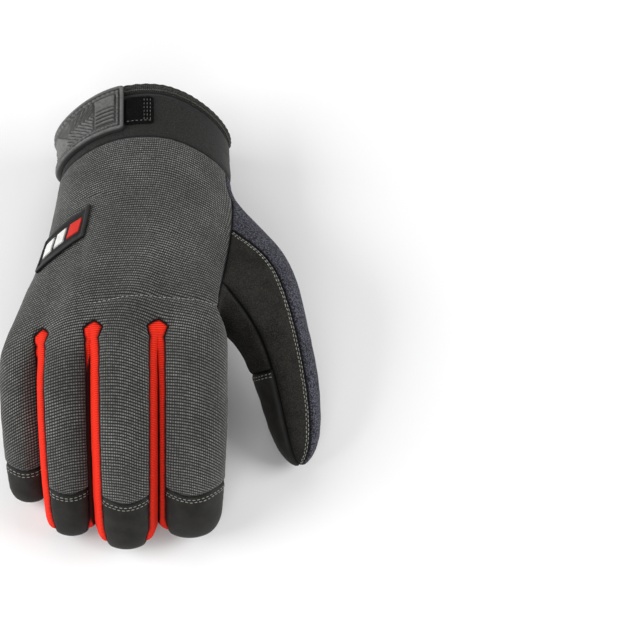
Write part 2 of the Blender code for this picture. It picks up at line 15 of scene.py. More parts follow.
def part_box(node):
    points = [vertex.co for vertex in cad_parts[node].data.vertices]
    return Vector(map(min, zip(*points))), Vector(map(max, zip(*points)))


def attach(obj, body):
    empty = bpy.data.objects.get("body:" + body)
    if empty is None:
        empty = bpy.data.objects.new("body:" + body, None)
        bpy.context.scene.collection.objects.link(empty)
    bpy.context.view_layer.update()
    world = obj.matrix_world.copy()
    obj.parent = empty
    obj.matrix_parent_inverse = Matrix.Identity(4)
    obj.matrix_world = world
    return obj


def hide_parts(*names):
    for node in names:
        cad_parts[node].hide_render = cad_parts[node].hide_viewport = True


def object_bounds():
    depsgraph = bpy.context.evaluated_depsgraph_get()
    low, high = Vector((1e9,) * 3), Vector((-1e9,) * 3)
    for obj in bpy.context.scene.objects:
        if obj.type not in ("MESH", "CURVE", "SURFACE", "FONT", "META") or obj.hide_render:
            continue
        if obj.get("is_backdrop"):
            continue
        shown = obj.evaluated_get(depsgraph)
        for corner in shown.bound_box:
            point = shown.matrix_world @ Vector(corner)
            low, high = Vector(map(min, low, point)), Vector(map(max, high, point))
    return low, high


bl_info = {
    "name": "Work Glove",
    "version": (1, 0, 0),
    "blender": (4, 5, 0),
    "location": "3D View > Sidebar > Glove",
    "description": "Sews a knit and leather work glove over its CAD solids",
    "category": "Object",
}

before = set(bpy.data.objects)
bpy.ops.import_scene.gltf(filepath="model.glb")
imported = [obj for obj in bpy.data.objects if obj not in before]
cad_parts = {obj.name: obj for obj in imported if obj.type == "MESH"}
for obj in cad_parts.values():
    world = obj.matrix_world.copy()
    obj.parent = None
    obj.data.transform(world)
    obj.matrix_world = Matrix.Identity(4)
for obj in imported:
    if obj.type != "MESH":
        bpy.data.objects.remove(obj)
CAD_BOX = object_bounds()

MM = 0.001
TAU = 2 * math.pi

# Sizes of the glove, the same as the part's own
CUFF_WIDTH = 80 * MM
CUFF_HEIGHT = 50 * MM
CUFF_LENGTH = 30 * MM
CUFF_SAG = 3.5 * MM
CUFF_LIFT = 3.1 * MM
HAND_LENGTH = 92 * MM
PALM_REACH = 16 * MM
WEB_REACH = 13 * MM
HAND_LIFT = 7 * MM
KNUCKLE_HEIGHT = 52 * MM
FINGER_FLATNESS = 0.88
FINGER_GAP = 1.3 * MM
KNUCKLES_SHIFT = -17 * MM
FINGER_START_PITCH = math.radians(8)
TIP_SINK = 1.2 * MM
GUSSET_TOP_RADIUS = 2.2 * MM
GUSSET_NECK = 4.6 * MM
THUMB_LENGTH = 84 * MM
THUMB_STAND_OFF = 26 * MM
THUMB_LEAN = 33 * MM
THUMB_WIDTH = 27 * MM
THUMB_THICKNESS = 25 * MM
THUMB_SINK = 6 * MM

LEATHER_WALL = 1.3 * MM
KNIT_WALL = 1.6 * MM
GUSSET_WALL = 1.1 * MM
TERRY_WALL = 2.2 * MM
CUFF_WALL = 2.8 * MM

STRAP_THICKNESS = 2.8 * MM
SEAM_LIFT = 0.3 * MM
PATCH_THICKNESS = 1.0 * MM
TAB_THICKNESS = 1.2 * MM
TAB_FREE_LENGTH = 16 * MM
TAB_CORNER_DROP = 1.2 * MM
TAB_RIM = CUFF_LENGTH * 0.42
BACK_BADGE_LENGTH = 26 * MM
BACK_BADGE_WIDTH = 14 * MM
BACK_BADGE_THICKNESS = 1.8 * MM
BACK_BADGE_SLANT = 10 * MM
BACK_BADGE_LIFT = 0.5 * MM

# How far past each top, and how far, the gussets' seams slide apart and then together
SEAM_APART = 1.3 * MM
SEAM_APART_PLACE = 7.0 * MM
SEAM_APART_REACH = 3.5 * MM
SEAM_TOGETHER = 2.4 * MM
SEAM_TOGETHER_PLACES = (9 * MM, 24 * MM)
SEAM_SLIDE_WIDTH = 3.4 * MM
SEAM_SLIDE_STEPS = 5
SEAM_SLIDE_FADE = (7 * MM, 16 * MM)

# Relief of the fabric: how far a seam reaches, how strong the folds are on the cuff and on the
# gussets and how far from a seam they start, the gussets' bulge, and the puckers beside a seam
RELIEF_REACH = 8 * MM
CUFF_FOLDS = 0.3
GUSSET_FOLDS = 0.1
FOLD_EASE = 4 * MM
SWELL_EASE = 2.2 * MM
PUCKER_SIZE = 2.6 * MM
PUCKER_REACH = 2.2 * MM
PUCKER_HEIGHT = 0.28 * MM
CREASES_START = -40 * MM

# Growth of the strap and the patch past their CAD solids, towards the rim and towards the hand
STRAP_GROWTH = (2.8 * MM, 1.6 * MM)
PATCH_GROWTH = (-0.3 * MM, 1.8 * MM)

# The woven binding, the groove beside it, and how near the rim the strap rides up over it
BINDING_RIDE = 6 * MM
BINDING_COVER = 1.0 * MM
BINDING_HALF = 2.3 * MM
BINDING_SHIFT = 0.9 * MM
BINDING_GROOVE = 2.0 * MM
BINDING_SIDES = 14

# Plain bars on the badge: middle along it and half its length in millimetres, and its rubber
BADGE_BARS = ((-7.2, 2.6, "pale"), (-0.6, 2.6, "pale"), (6.8, 3.0, "red"))
BADGE_BAR_HALF = 3.2 * MM
BAR_COLORS = {"pale": (0.72, 0.72, 0.70), "red": (0.62, 0.03, 0.02)}

# The strap's relief, in zones measured from its end on the back and from its end under the palm
PLATE_ZONE = 14 * MM
CHEVRON_ZONE = 28 * MM
SLANT_ZONE = 43 * MM
PALM_RIB_ZONE = 26 * MM
PALM_PLATE_ZONE = 15 * MM

# Grid steps of moulded pieces, and the angle past which their edges are shaded sharp
STRAP_STEP = 0.42 * MM
RELIEF_STEP = 0.4 * MM
BAR_STEP = 0.3 * MM
PAD_STEP = 0.8 * MM
MOULDED_SHARP = 60

# Stitches of the patch: distances of the short rows from its end, and share for the long row
PATCH_STITCH_INSETS = (1.6, 3.0, 4.4)
PATCH_EDGE_ROW = 0.82

# Distances of stitch rows from their seam
CAP_ROWS = (1.4 * MM, 3.1 * MM)
THUMB_ROWS = (1.5 * MM, 3.0 * MM)

Finger = namedtuple("Finger", "name length width drop lean")
FINGERS = (
    Finger("little", 66 * MM, 18.5 * MM, 14 * MM, 0.05),
    Finger("ring", 85 * MM, 21.8 * MM, 4 * MM, 0.03),
    Finger("middle", 92 * MM, 26 * MM, 0.0, 0.01),
    Finger("index", 85 * MM, 29.5 * MM, 3 * MM, -0.01),
)

# Rings of a finger: place along it, then sizes, lead of the back, lag of the palm and arc of the
# crown, as shares of its width, thickness and length
FingerRing = namedtuple("FingerRing", "place width crown pad lead lag arc")
FINGER_RINGS = (
    FingerRing(0.18, 1.00, 1.00, 0.86, 0.135, 0.04, 0.00),
    FingerRing(0.31, 1.01, 1.03, 1.06, 0.04, 0.015, 0.00),
    FingerRing(0.43, 0.99, 1.02, 0.88, 0.01, 0.00, 0.00),
    FingerRing(0.55, 0.98, 0.99, 1.06, 0.01, 0.00, 0.02),
    FingerRing(0.65, 0.97, 0.99, 0.96, 0.02, 0.00, 0.05),
    FingerRing(0.81, 0.94, 0.97, 1.06, 0.00, 0.00, 0.02),
    FingerRing(0.94, 0.91, 0.88, 0.88, 0.00, 0.00, 0.00),
)
CAP_FIRST_RING = 5
TIP_PLACE = 1.005

HandRow = namedtuple("HandRow", "place blend back heel flank")
HAND_ROWS = (
    HandRow(0.00, 0.00, 0.00, 0.00, 0.00),
    HandRow(0.16, 0.10, 0.02, -0.02, 0.00),
    HandRow(0.38, 0.22, 0.07, -0.07, 0.00),
    HandRow(0.56, 0.40, 0.11, -0.12, 0.01),
    HandRow(0.73, 0.61, 0.12, -0.10, 0.01),
    HandRow(0.92, 0.88, 0.08, -0.02, 0.00),
    HandRow(1.00, 1.00, 0.00, 0.00, 0.00),
)
THUMB_FIRST_ROW = 1
THUMB_LAST_ROW = 5

CuffRow = namedtuple("CuffRow", "back side palm")
CUFF_ROWS = (
    CuffRow(0.58, 0.05, 0.42),
    CuffRow(0.53, -0.02, 0.22),
    CuffRow(-0.08, -0.50, -0.38),
    CuffRow(-0.20, -0.60, -0.50),
)
STRAP_ROW = 1
CUFF_ANGLES = (160, 142, 124, 106, 84, 68, 52, 36, 20)
PALM_FIRST_ANGLE = -20
PALM_ANGLE_STEP = -17.5
STRAP_COLUMNS = (15, 16, 17, 18, 19, 0, 1, 2)
PATCH_COLUMN = 3

ThumbRing = namedtuple("ThumbRing", "place width height")
THUMB_RINGS = (
    ThumbRing(0.12, 1.00, 0.76),
    ThumbRing(0.29, 0.84, 0.66),
    ThumbRing(0.47, 0.66, 0.60),
    ThumbRing(0.63, 0.57, 0.54),
    ThumbRing(0.78, 0.52, 0.50),
    ThumbRing(0.92, 0.41, 0.42),
)
THUMB_TIP_PLACE = 1.07
THUMB_PAD_FIRST_RING = 4

BACK_COLUMNS = 8
RING_SIZE = 20
INNER_SIDE = 9
OUTER_SIDE = 19
CORNER_SIDE = 0.84
CORNER_RISE = 0.72
CROWN_RISE = 1.17
FLANK_SIDE = 1.09

PANELS = (
    "back_panel",
    "palm_panel",
    "thumb_back_panel",
    "thumb_wipe_panel",
    "fourchette_little_ring",
    "fourchette_ring_middle",
    "fourchette_middle_index",
    "fingertip_cap_little",
    "fingertip_cap_ring",
    "fingertip_cap_middle",
    "fingertip_cap_index",
    "index_touch_pad",
    "thumb_touch_pad",
    "cuff_band",
    "cuff_closure",
    "cuff_patch",
)
PANEL = {name: number for number, name in enumerate(PANELS)}
GUSSETS = PANELS[4:7]
CAPS = PANELS[7:11]
CUFF_PANELS = ("cuff_band", "cuff_closure", "cuff_patch")
SMOOTH_LEVELS = 4
SWELL_ROUNDS = 6

# Lines pressed into the back of the hand: places from above, depth and half width in millimetres
Crease = namedtuple("Crease", "places depth width")
KNUCKLE_MIDDLE = (4, -95)
KNUCKLE_HALF = 27
KNUCKLE_SAG = 2
KNUCKLE_SEAM = tuple(
    (KNUCKLE_MIDDLE[0] + KNUCKLE_HALF * share, KNUCKLE_MIDDLE[1] - KNUCKLE_SAG * share**2)
    for share in (-1, -0.6, -0.2, 0.2, 0.6, 1)
)
BACK_CREASES = (
    Crease(KNUCKLE_SEAM, 0.6, 1.1),
    Crease(((-6, -64), (23, -61)), 0.35, 1.3),
    Crease(((-28, -48), (-28, -80), (-27, -96)), 0.6, 2.2),
    Crease(((5, -65), (5, -96)), 0.45, 2.4),
    Crease(((43, -83), (52, -87), (56, -89)), 2.2, 3.0),
    Crease(((42, -66), (50, -75)), 1.7, 2.8),
    Crease(((-30, -38), (-18, -42), (-4, -52)), 0.5, 3.2),
)

# Quilted pads of the palm: places across, their middle line and their width, in millimetres
PadRow = namedtuple("PadRow", "across middle width")
PALM_PADS = (
    (
        PadRow(-55, -113, 7),
        PadRow(-34, -113, 12),
        PadRow(-13, -113, 6),
        PadRow(8, -115, 8),
        PadRow(29, -114, 6),
    ),
    (
        PadRow(-48, -95, 9),
        PadRow(-29, -96, 11),
        PadRow(-10, -102, 12),
        PadRow(9, -105, 8),
        PadRow(28, -107, 3),
    ),
    (
        PadRow(-44, -77, 6),
        PadRow(-20, -79, 6),
        PadRow(4, -87, 5),
        PadRow(28, -95, 1),
    ),
    (
        PadRow(-40, -56, 8),
        PadRow(-29, -55, 18),
        PadRow(-18, -61, 15),
        PadRow(-7, -71, 12),
        PadRow(4, -79, 3),
    ),
)
PAD_HEIGHT = 1.1 * MM
PAD_SINK = 0.4 * MM
PAD_SLOPE = 3.2 * MM

# The camera that matches the photograph
CAMERA_ELEVATION = math.radians(66)
CAMERA_DISTANCE = 0.6
CAMERA_TARGET = Vector((0, -0.085, 0.03))
FRAME_SIZE = 640
TARGET_PIXEL = (147, 306)
FOCAL_PIXELS = 0.6 / (0.45 * MM)
SENSOR_WIDTH = 36.0


def length(name, description, default, low=0.0):
    """A length of the settings, with its default and its lower limit in millimetres."""
    return bpy.props.FloatProperty(
        name=name, description=description, default=default * MM, min=low * MM, unit="LENGTH"
    )


def color(name, description, default):
    """A colour of the settings."""
    return bpy.props.FloatVectorProperty(
        name=name, description=description, default=default, min=0.0, max=1.0, subtype="COLOR"
    )


class WorkGloveSettings(bpy.types.PropertyGroup):
    """Sizes and colours of the glove."""

    seam_depth: length("Seam Depth", "How deep a seam pulls the fabric in", 0.9)
    seam_width: length("Seam Width", "How far from a seam the fabric dips", 1.0, 0.1)
    fold_depth: length("Fold Depth", "Depth of the soft folds over the whole glove", 0.45)
    stitch_pitch: length("Stitch Pitch", "Distance from one stitch to the next", 2.0, 0.5)
    stitch_radius: length("Thread Radius", "Half the thickness of the sewing thread", 0.17, 0.05)
    knit_row: length("Knit Row", "Height of one row of the knit", 1.3, 0.2)
    knit_column: length("Knit Column", "Width of one column of the knit", 1.02, 0.2)
    knit_light: color("Knit Light", "Lighter yarn of the knit", (0.182, 0.185, 0.177))
    knit_dark: color("Knit Dark", "Darker yarn of the knit", (0.014, 0.014, 0.013))
    leather_color: color("Leather", "Colour of the synthetic leather", (0.0125, 0.012, 0.0105))
    cap_color: color(
        "Fingertips", "Colour of the smooth fingertips and touch pads", (0.0115, 0.011, 0.0095)
    )
    gusset_color: color(
        "Gussets", "Colour of the stretch fabric between the fingers", (0.88, 0.028, 0.010)
    )
    terry_color: color("Terry", "Colour of the wiping cloth on the thumb", (0.034, 0.034, 0.044))
    neoprene_color: color("Cuff", "Colour of the neoprene cuff", (0.0095, 0.0091, 0.0085))
    rubber_color: color("Rubber", "Colour of the moulded strap", (0.105, 0.107, 0.103))
    thread_color: color("Thread", "Colour of the contrast thread", (0.29, 0.29, 0.26))
    floor_color: color("Floor", "Colour of the studio floor", (0.86, 0.86, 0.86))


def settings():
    return bpy.context.scene.work_glove


# The smooth form


class Ring:
    """A closed ring of the cage. Each column has its span round the ring, each point its depth
    along the glove."""

    def __init__(self, verts, depths, start, centre, origin=0.0):
        self.verts, self.depths = verts, depths
        self.spans = [None] * len(verts)
        reach = 0.0
        for step in range(len(verts)):
            number = (start + step) % len(verts)
            width = (verts[(number + 1) % len(verts)].co - verts[number].co).length
            self.spans[number] = (reach, reach + width)
            reach += width
        shift = origin - self.spans[centre][0]
        self.spans = [(low + shift, high + shift) for low, high in self.spans]


def ring_edges(cage, verts):
    """Edges of a closed ring of points."""
    return [cage.edges.get(pair) for pair in zip(verts, verts[1:] + verts[:1])]


def extend(cage, ring, points, panels, start, centre, level=None):
    """Extrudes a ring's edges to new points, numbers the new faces by panel and lays them out.
    A level lays the whole new ring at one depth, with the spans of the old one."""
    verts = ring.verts
    made = bmesh.ops.extrude_edge_only(cage, edges=ring_edges(cage, verts))
    fresh = {each for each in made["geom"] if isinstance(each, bmesh.types.BMVert)}
    others, depths = [], []
    for vert, point, depth in zip(verts, points, ring.depths):
        ends = (edge.other_vert(vert) for edge in vert.link_edges)
        twin = next(end for end in ends if end in fresh)
        twin.co = point
        others.append(twin)
        depths.append(depth + (point - vert.co).length if level is None else level)
    other = Ring(others, depths, start, centre, ring.spans[centre][0])
    if level is not None:
        other.spans = ring.spans
    layout = cage.loops.layers.uv["surface"]
    for number, panel in enumerate(panels):
        after = (number + 1) % len(verts)
        face = cage.edges.get((others[number], others[after])).link_faces[0]
        face.material_index = PANEL[panel]
        places = {
            verts[number]: (ring.spans[number][0], ring.depths[number]),
            verts[after]: (ring.spans[number][1], ring.depths[after]),
            others[number]: (other.spans[number][0], depths[number]),
            others[after]: (other.spans[number][1], depths[after]),
        }
        for loop in face.loops:
            loop[layout].uv = places[loop.vert]
    return other


def close_tip(cage, ring, centre, panels):
    """Closes a ring with quads that meet at its tip."""
    verts = ring.verts
    made = bmesh.ops.contextual_create(cage, geom=ring_edges(cage, verts))
    made = bmesh.ops.poke(cage, faces=made["faces"])
    tip = made["verts"][0]
    tip.co = centre
    spokes = [cage.edges.get((tip, vert)) for vert in verts[::2]]
    bmesh.ops.dissolve_edges(cage, edges=spokes, use_verts=False)
    layout = cage.loops.layers.uv["surface"]
    depth = max(ring.depths) + (centre - verts[0].co).length / 2
    for number, panel in enumerate(panels):
        corner = verts[(2 * number + 2) % len(verts)]
        face = next(face for face in tip.link_faces if corner in face.verts)
        face.material_index = PANEL[panel]
        for loop in face.loops:
            place = verts.index(loop.vert) if loop.vert in verts else 0
            loop[layout].uv = (ring.spans[place][0], depth)


def cuff_angles():
    """Angles of the ring's points: back from the little side, inner side, palm, outer side."""
    back = [math.radians(angle) for angle in CUFF_ANGLES]
    palm = [
        math.radians(PALM_FIRST_ANGLE + PALM_ANGLE_STEP * number)
        for number in range(BACK_COLUMNS + 1)
    ]
    return back + [0.0] + palm + [math.pi]


def cuff_ring(row):
    centre_z = CUFF_LIFT - CUFF_SAG + CUFF_HEIGHT / 2
    ring = []
    for angle in cuff_angles():
        x, z = math.cos(angle) * CUFF_WIDTH / 2, math.sin(angle) * CUFF_HEIGHT / 2
        middle = row.back if z > 0 else row.palm
        share = row.side + (middle - row.side) * math.sin(angle) ** 2
        ring.append(Vector((x, CUFF_LENGTH * share, centre_z + z)))
    return ring


def finger_half_sizes(finger):
    return finger.width / 2, finger.width * FINGER_FLATNESS / 2


def finger_bases():
    """Middle of each finger where it leaves the hand. They stand side by side along an arch."""
    heights = [KNUCKLE_HEIGHT - finger.drop for finger in FINGERS]
    offsets = [0.0]
    for number, (finger, other) in enumerate(zip(FINGERS, FINGERS[1:])):
        reach = (finger.width + other.width) / 2 + FINGER_GAP
        step = heights[number + 1] - heights[number]
        offsets.append(offsets[-1] + math.sqrt(max(reach**2 - step**2, (reach / 2) ** 2)))
    middle = (offsets[0] + offsets[-1]) / 2
    base_y = -CUFF_LENGTH / 2 - HAND_LENGTH - PALM_REACH / 2
    return [
        Vector((offset - middle + KNUCKLES_SHIFT, base_y, height))
        for offset, height in zip(offsets, heights)
    ]


def knuckle_ring(bases):
    """Points of the hand's last ring, where the fingers start."""
    back_y = -CUFF_LENGTH / 2 - HAND_LENGTH
    palm_y = back_y - PALM_REACH
    back, palm = [], []
    for number, (finger, base) in enumerate(zip(FINGERS, bases)):
        half_x, half_z = finger_half_sizes(finger)
        if number == 0:
            side = base.x - half_x * CORNER_SIDE
            back.append(Vector((side, back_y, base.z + half_z * CORNER_RISE)))
            palm.append(Vector((side, palm_y, base.z - half_z * CORNER_RISE)))
        back.append(Vector((base.x, back_y, base.z + half_z * CROWN_RISE)))
        palm.append(Vector((base.x, palm_y, base.z - half_z * CROWN_RISE)))
        if number + 1 < len(FINGERS):
            other, other_base = FINGERS[number + 1], bases[number + 1]
            side = (base.x + half_x + other_base.x - other.width / 2) / 2
            height = (base.z + other_base.z) / 2
            rise = (half_z + finger_half_sizes(other)[1]) / 2 * CORNER_RISE
        else:
            side = base.x + half_x * CORNER_SIDE
            height = base.z
            rise = half_z * CORNER_RISE
        back.append(Vector((side, back_y, height + rise)))
        palm.append(Vector((side, palm_y, height - rise)))
    web_y = back_y - PALM_REACH / 2
    first, last = FINGERS[0], FINGERS[-1]
    inner = Vector((bases[-1].x + last.width / 2 * FLANK_SIDE, web_y, bases[-1].z))
    outer = Vector((bases[0].x - first.width / 2 * FLANK_SIDE, web_y, bases[0].z))
    return back + [inner] + palm[::-1] + [outer]


def hand_ring(row, seam_ring, last_ring):
    """Points of the hand between the cuff seam and the knuckles."""
    ring = []
    for number, (start, end) in enumerate(zip(seam_ring, last_ring)):
        point = start.lerp(end, row.blend)
        point.y = start.y + (end.y - start.y) * row.place
        if number <= BACK_COLUMNS:
            across = number / BACK_COLUMNS * 2 - 1
            point.z += KNUCKLE_HEIGHT * row.back * (1 - 0.5 * across**2)
        elif number == INNER_SIDE:
            point.x += KNUCKLE_HEIGHT * row.flank
        elif number < OUTER_SIDE:
            point.z += KNUCKLE_HEIGHT * row.heel + HAND_LIFT * math.sin(math.pi * row.place)
        else:
            point.x -= KNUCKLE_HEIGHT * row.flank
        ring.append(point)
    return ring


def finger_path(finger, base, end_pitch, steps=60):
    """Middle line of a finger that turns down evenly: (point, direction, up) by place."""
    place_step = TIP_PLACE / steps
    point = base.copy()
    path = []
    for step in range(steps + 1):
        place = step * place_step
        pitch = FINGER_START_PITCH + (end_pitch - FINGER_START_PITCH) * place
        along = Vector((finger.lean, -math.cos(pitch), -math.sin(pitch))).normalized()
        up = Vector((0, -math.sin(pitch), math.cos(pitch)))
        path.append((point.copy(), along, up))
        point += along * finger.length * place_step
    return path


def at_place(path, place):
    exact = place / TIP_PLACE * (len(path) - 1)
    low = min(int(exact), len(path) - 2)
    share = exact - low
    return tuple(a.lerp(b, share) for a, b in zip(path[low], path[low + 1]))


def curled_path(finger, base):
    """The finger's path, curled until the pad of its tip presses on the surface."""
    low, high = FINGER_START_PITCH, math.radians(150)
    last = FINGER_RINGS[-1]
    for _ in range(40):
        middle = (low + high) / 2
        point, _, up = at_place(finger_path(finger, base, middle), last.place)
        reach = finger_half_sizes(finger)[1] * last.pad
        if point.z - reach * max(up.z, 0.5) > -TIP_SINK:
            low = middle
        else:
            high = middle
    return finger_path(finger, base, (low + high) / 2)


def finger_ring(finger, path, ring):
    """Eight points round the finger: back left, crown, back right, flank, then the palm side."""
    point, along, up = at_place(path, ring.place)
    half_x, half_z = finger_half_sizes(finger)
    side = Vector((1, 0, 0)) * half_x * ring.width
    crown = up * half_z * ring.crown
    pad = up * half_z * ring.pad
    back = point - along * finger.length * ring.lead
    palm = point + along * finger.length * ring.lag
    return [
        back - side * CORNER_SIDE + crown * CORNER_RISE,
        back + crown * CROWN_RISE + along * finger.length * ring.arc,
        back + side * CORNER_SIDE + crown * CORNER_RISE,
        point + side * FLANK_SIDE,
        palm + side * CORNER_SIDE - pad * CORNER_RISE,
        palm - pad * CROWN_RISE,
        palm - side * CORNER_SIDE - pad * CORNER_RISE,
        point - side * FLANK_SIDE,
    ]


def thumb_path(base):
    """Control points of the thumb's middle line: hand, stand-off and tip."""
    low = THUMB_THICKNESS * THUMB_RINGS[-1].height - THUMB_SINK
    tip = Vector((base.x + THUMB_LEAN, base.y - THUMB_LENGTH, low))
    bend = Vector((base.x + THUMB_STAND_OFF, base.y - THUMB_LENGTH * 0.17, base.z * 0.9))
    return base, bend, tip


def thumb_ring(controls, ring):
    """Twelve points round the thumb, from its upper outer side over the top to the outer side."""
    start, bend, tip = controls
    t = ring.place
    point = start * (1 - t) ** 2 + bend * 2 * t * (1 - t) + tip * t**2
    along = ((bend - start) * (1 - t) + (tip - bend) * t).normalized()
    inward = along.cross(Vector((0, 0, 1))).normalized()
    up = inward.cross(along)
    points = []
    for number in range(12):
        angle = math.radians(150 - 30 * number)
        wide = inward * math.cos(angle) * THUMB_WIDTH * ring.width
        points.append(point + wide + up * math.sin(angle) * THUMB_THICKNESS * ring.height)
    return points


def finger_columns(number, ring_number):
    """The panel of each of a finger's eight columns in one row of faces."""
    capped = ring_number >= CAP_FIRST_RING
    back = CAPS[number] if capped else "back_panel"
    palm = "index_touch_pad" if capped and FINGERS[number].name == "index" else "palm_panel"
    first, last = number == 0, number == len(FINGERS) - 1
    right = (back, palm) if last else (GUSSETS[number],) * 2
    left = (palm, back) if first else (GUSSETS[number - 1],) * 2
    return [back, back, *right, palm, palm, *left]


def hand_columns(row):
    """The panel of each column of the hand in one row of faces."""
    wipe = row < THUMB_FIRST_ROW
    upper = "thumb_wipe_panel" if wipe else "back_panel"
    lower = "thumb_wipe_panel" if wipe else "palm_panel"
    return (
        ["back_panel"] * BACK_COLUMNS
        + [upper, lower]
        + ["palm_panel"] * BACK_COLUMNS
        + ["palm_panel", "back_panel"]
    )


def add_cuff(cage, seam):
    """Extrudes the cuff from its seam back to its rim."""
    plain = ["cuff_band"] * RING_SIZE
    marked = plain[:]
    for column in STRAP_COLUMNS:
        marked[column] = "cuff_closure"
    marked[PATCH_COLUMN] = "cuff_patch"
    start = STRAP_COLUMNS[0]
    ring = Ring(seam.verts, seam.depths, start, start)
    for number in reversed(range(len(CUFF_ROWS) - 1)):
        columns = marked if number == STRAP_ROW else plain
        level = CUFF_LENGTH * (CUFF_ROWS[-1].back - CUFF_ROWS[number].back)
        points = cuff_ring(CUFF_ROWS[number])
        ring = extend(cage, ring, points, columns, start, start, level)


def add_fingers(cage, knuckles, bases):
    back = knuckles.verts[: BACK_COLUMNS + 1]
    palm = knuckles.verts[OUTER_SIDE - 1 : INNER_SIDE : -1]
    depth = dict(zip(knuckles.verts, knuckles.depths))
    flanks = [knuckles.verts[OUTER_SIDE]]
    for number in range(len(FINGERS) - 1):
        upper, lower = back[2 * number + 2], palm[2 * number + 2]
        place = (upper.co + lower.co) / 2
        place.y = upper.co.y - WEB_REACH
        web = bmesh.ops.create_vert(cage, co=place)["vert"][0]
        cage.edges.new((upper, web))
        cage.edges.new((web, lower))
        depth[web] = depth[upper] + (place - upper.co).length
        flanks.append(web)
    flanks.append(knuckles.verts[INNER_SIDE])
    for number, (finger, base) in enumerate(zip(FINGERS, bases)):
        start = 2 * number
        verts = back[start : start + 3] + [flanks[number + 1]]
        verts += palm[start : start + 3][::-1] + [flanks[number]]
        origin = knuckles.spans[start + 1][0]
        ring = Ring(verts, [depth[vert] for vert in verts], 7, 1, origin)
        path = curled_path(finger, base)
        for ring_number, section in enumerate(FINGER_RINGS):
            points = finger_ring(finger, path, section)
            columns = finger_columns(number, ring_number)
            ring = extend(cage, ring, points, columns, 7, 1)
        pad = "index_touch_pad" if finger.name == "index" else "palm_panel"
        tip = at_place(path, TIP_PLACE)[0]
        close_tip(cage, ring, tip, [CAPS[number], pad, pad, CAPS[number]])


def add_thumb(cage, rows):
    """Opens the hand's inner side and extrudes the thumb from the hole."""
    gone = set()
    for row, other in zip(rows[THUMB_FIRST_ROW:THUMB_LAST_ROW], rows[THUMB_FIRST_ROW + 1 :]):
        for number in (BACK_COLUMNS, BACK_COLUMNS + 1):
            corners = {row.verts[number], other.verts[number + 1]}
            near = row.verts[number].link_faces
            gone.update(face for face in near if corners <= set(face.verts))
    bmesh.ops.delete(cage, geom=list(gone), context="FACES")
    span = range(THUMB_FIRST_ROW, THUMB_LAST_ROW + 1)
    order = [(row, BACK_COLUMNS) for row in span] + [(THUMB_LAST_ROW, INNER_SIDE)]
    order += [(row, INNER_SIDE + 1) for row in reversed(span)]
    order.append((THUMB_FIRST_ROW, INNER_SIDE))
    verts = [rows[row].verts[column] for row, column in order]
    ring = Ring(verts, [rows[row].depths[column] for row, column in order], 1, 3)
    base = sum((vert.co for vert in verts), Vector()) / len(verts)
    controls = thumb_path(base)
    for ring_number, section in enumerate(THUMB_RINGS):
        pad = "thumb_touch_pad" if ring_number >= THUMB_PAD_FIRST_RING else "palm_panel"
        columns = ["thumb_wipe_panel"] + ["thumb_back_panel"] * 2 + [pad] * 6
        columns += ["thumb_wipe_panel"] * 3
        ring = extend(cage, ring, thumb_ring(controls, section), columns, 1, 3)
    _, bend, tip = controls
    end = tip + (tip - bend).normalized() * THUMB_LENGTH * (THUMB_TIP_PLACE - 1)
    panels = ["thumb_back_panel"] + ["thumb_touch_pad"] * 3 + ["thumb_wipe_panel"] * 2
    close_tip(cage, ring, end, panels)


def round_gusset_tops(cage, knuckles):
    """Cuts each point between two fingers to a round end for the gusset."""
    for number, name in enumerate(GUSSETS):
        top = knuckles.verts[2 * number + 2]
        middle = top.co.copy()
        made = bmesh.ops.bevel(
            cage,
            geom=[top],
            offset=GUSSET_TOP_RADIUS,
            offset_type="OFFSET",
            segments=1,
            profile=0.5,
            affect="VERTICES",
            material=-1,
        )
        for face in made["faces"]:
            face.material_index = PANEL[name]
        for vert in made["verts"]:
            aside = vert.co.x - middle.x
            if middle.y - vert.co.y > GUSSET_TOP_RADIUS / 2 and abs(aside) > GUSSET_NECK / 8:
                vert.co.x += math.copysign(GUSSET_NECK / 2 - abs(aside), aside)


def glove_cage():
    """The coarse cage of the whole glove, extruded ring by ring from the cuff seam."""
    cage = bmesh.new()
    cage.loops.layers.uv.new("surface")
    bases = finger_bases()
    seam_points, last = cuff_ring(CUFF_ROWS[-1]), knuckle_ring(bases)
    made = bmesh.ops.create_circle(cage, cap_ends=False, radius=CUFF_WIDTH / 2, segments=RING_SIZE)
    around = made["verts"]
    for vert, point in zip(around, seam_points):
        vert.co = point
    ring = Ring(around, [0.0] * RING_SIZE, OUTER_SIDE, BACK_COLUMNS // 2)
    rows = [ring]
    for number, row in enumerate(HAND_ROWS[1:]):
        points = hand_ring(row, seam_points, last)
        columns = hand_columns(number)
        ring = extend(cage, ring, points, columns, OUTER_SIDE, BACK_COLUMNS // 2)
        rows.append(ring)
    add_cuff(cage, rows[0])
    add_fingers(cage, rows[-1], bases)
    add_thumb(cage, rows)
    round_gusset_tops(cage, rows[-1])
    bmesh.ops.recalc_face_normals(cage, faces=cage.faces)
    return cage


def smoothed(cage):
    """The cage after its subdivision, as a new bmesh."""
    mesh = bpy.data.meshes.new("glove_form")
    cage.to_mesh(mesh)
    cage.free()
    for _ in PANELS:
        mesh.materials.append(None)
    guide = bpy.data.objects.new("glove_form", mesh)
    bpy.context.scene.collection.objects.link(guide)
    smooth = guide.modifiers.new("smooth", "SUBSURF")
    smooth.levels = smooth.render_levels = SMOOTH_LEVELS
    bpy.context.view_layer.update()
    evaluated = guide.evaluated_get(bpy.context.evaluated_depsgraph_get())
    form = bmesh.new()
    form.from_mesh(evaluated.to_mesh())
    evaluated.to_mesh_clear()
    bpy.data.objects.remove(guide)
    bpy.data.meshes.remove(mesh)
    return form


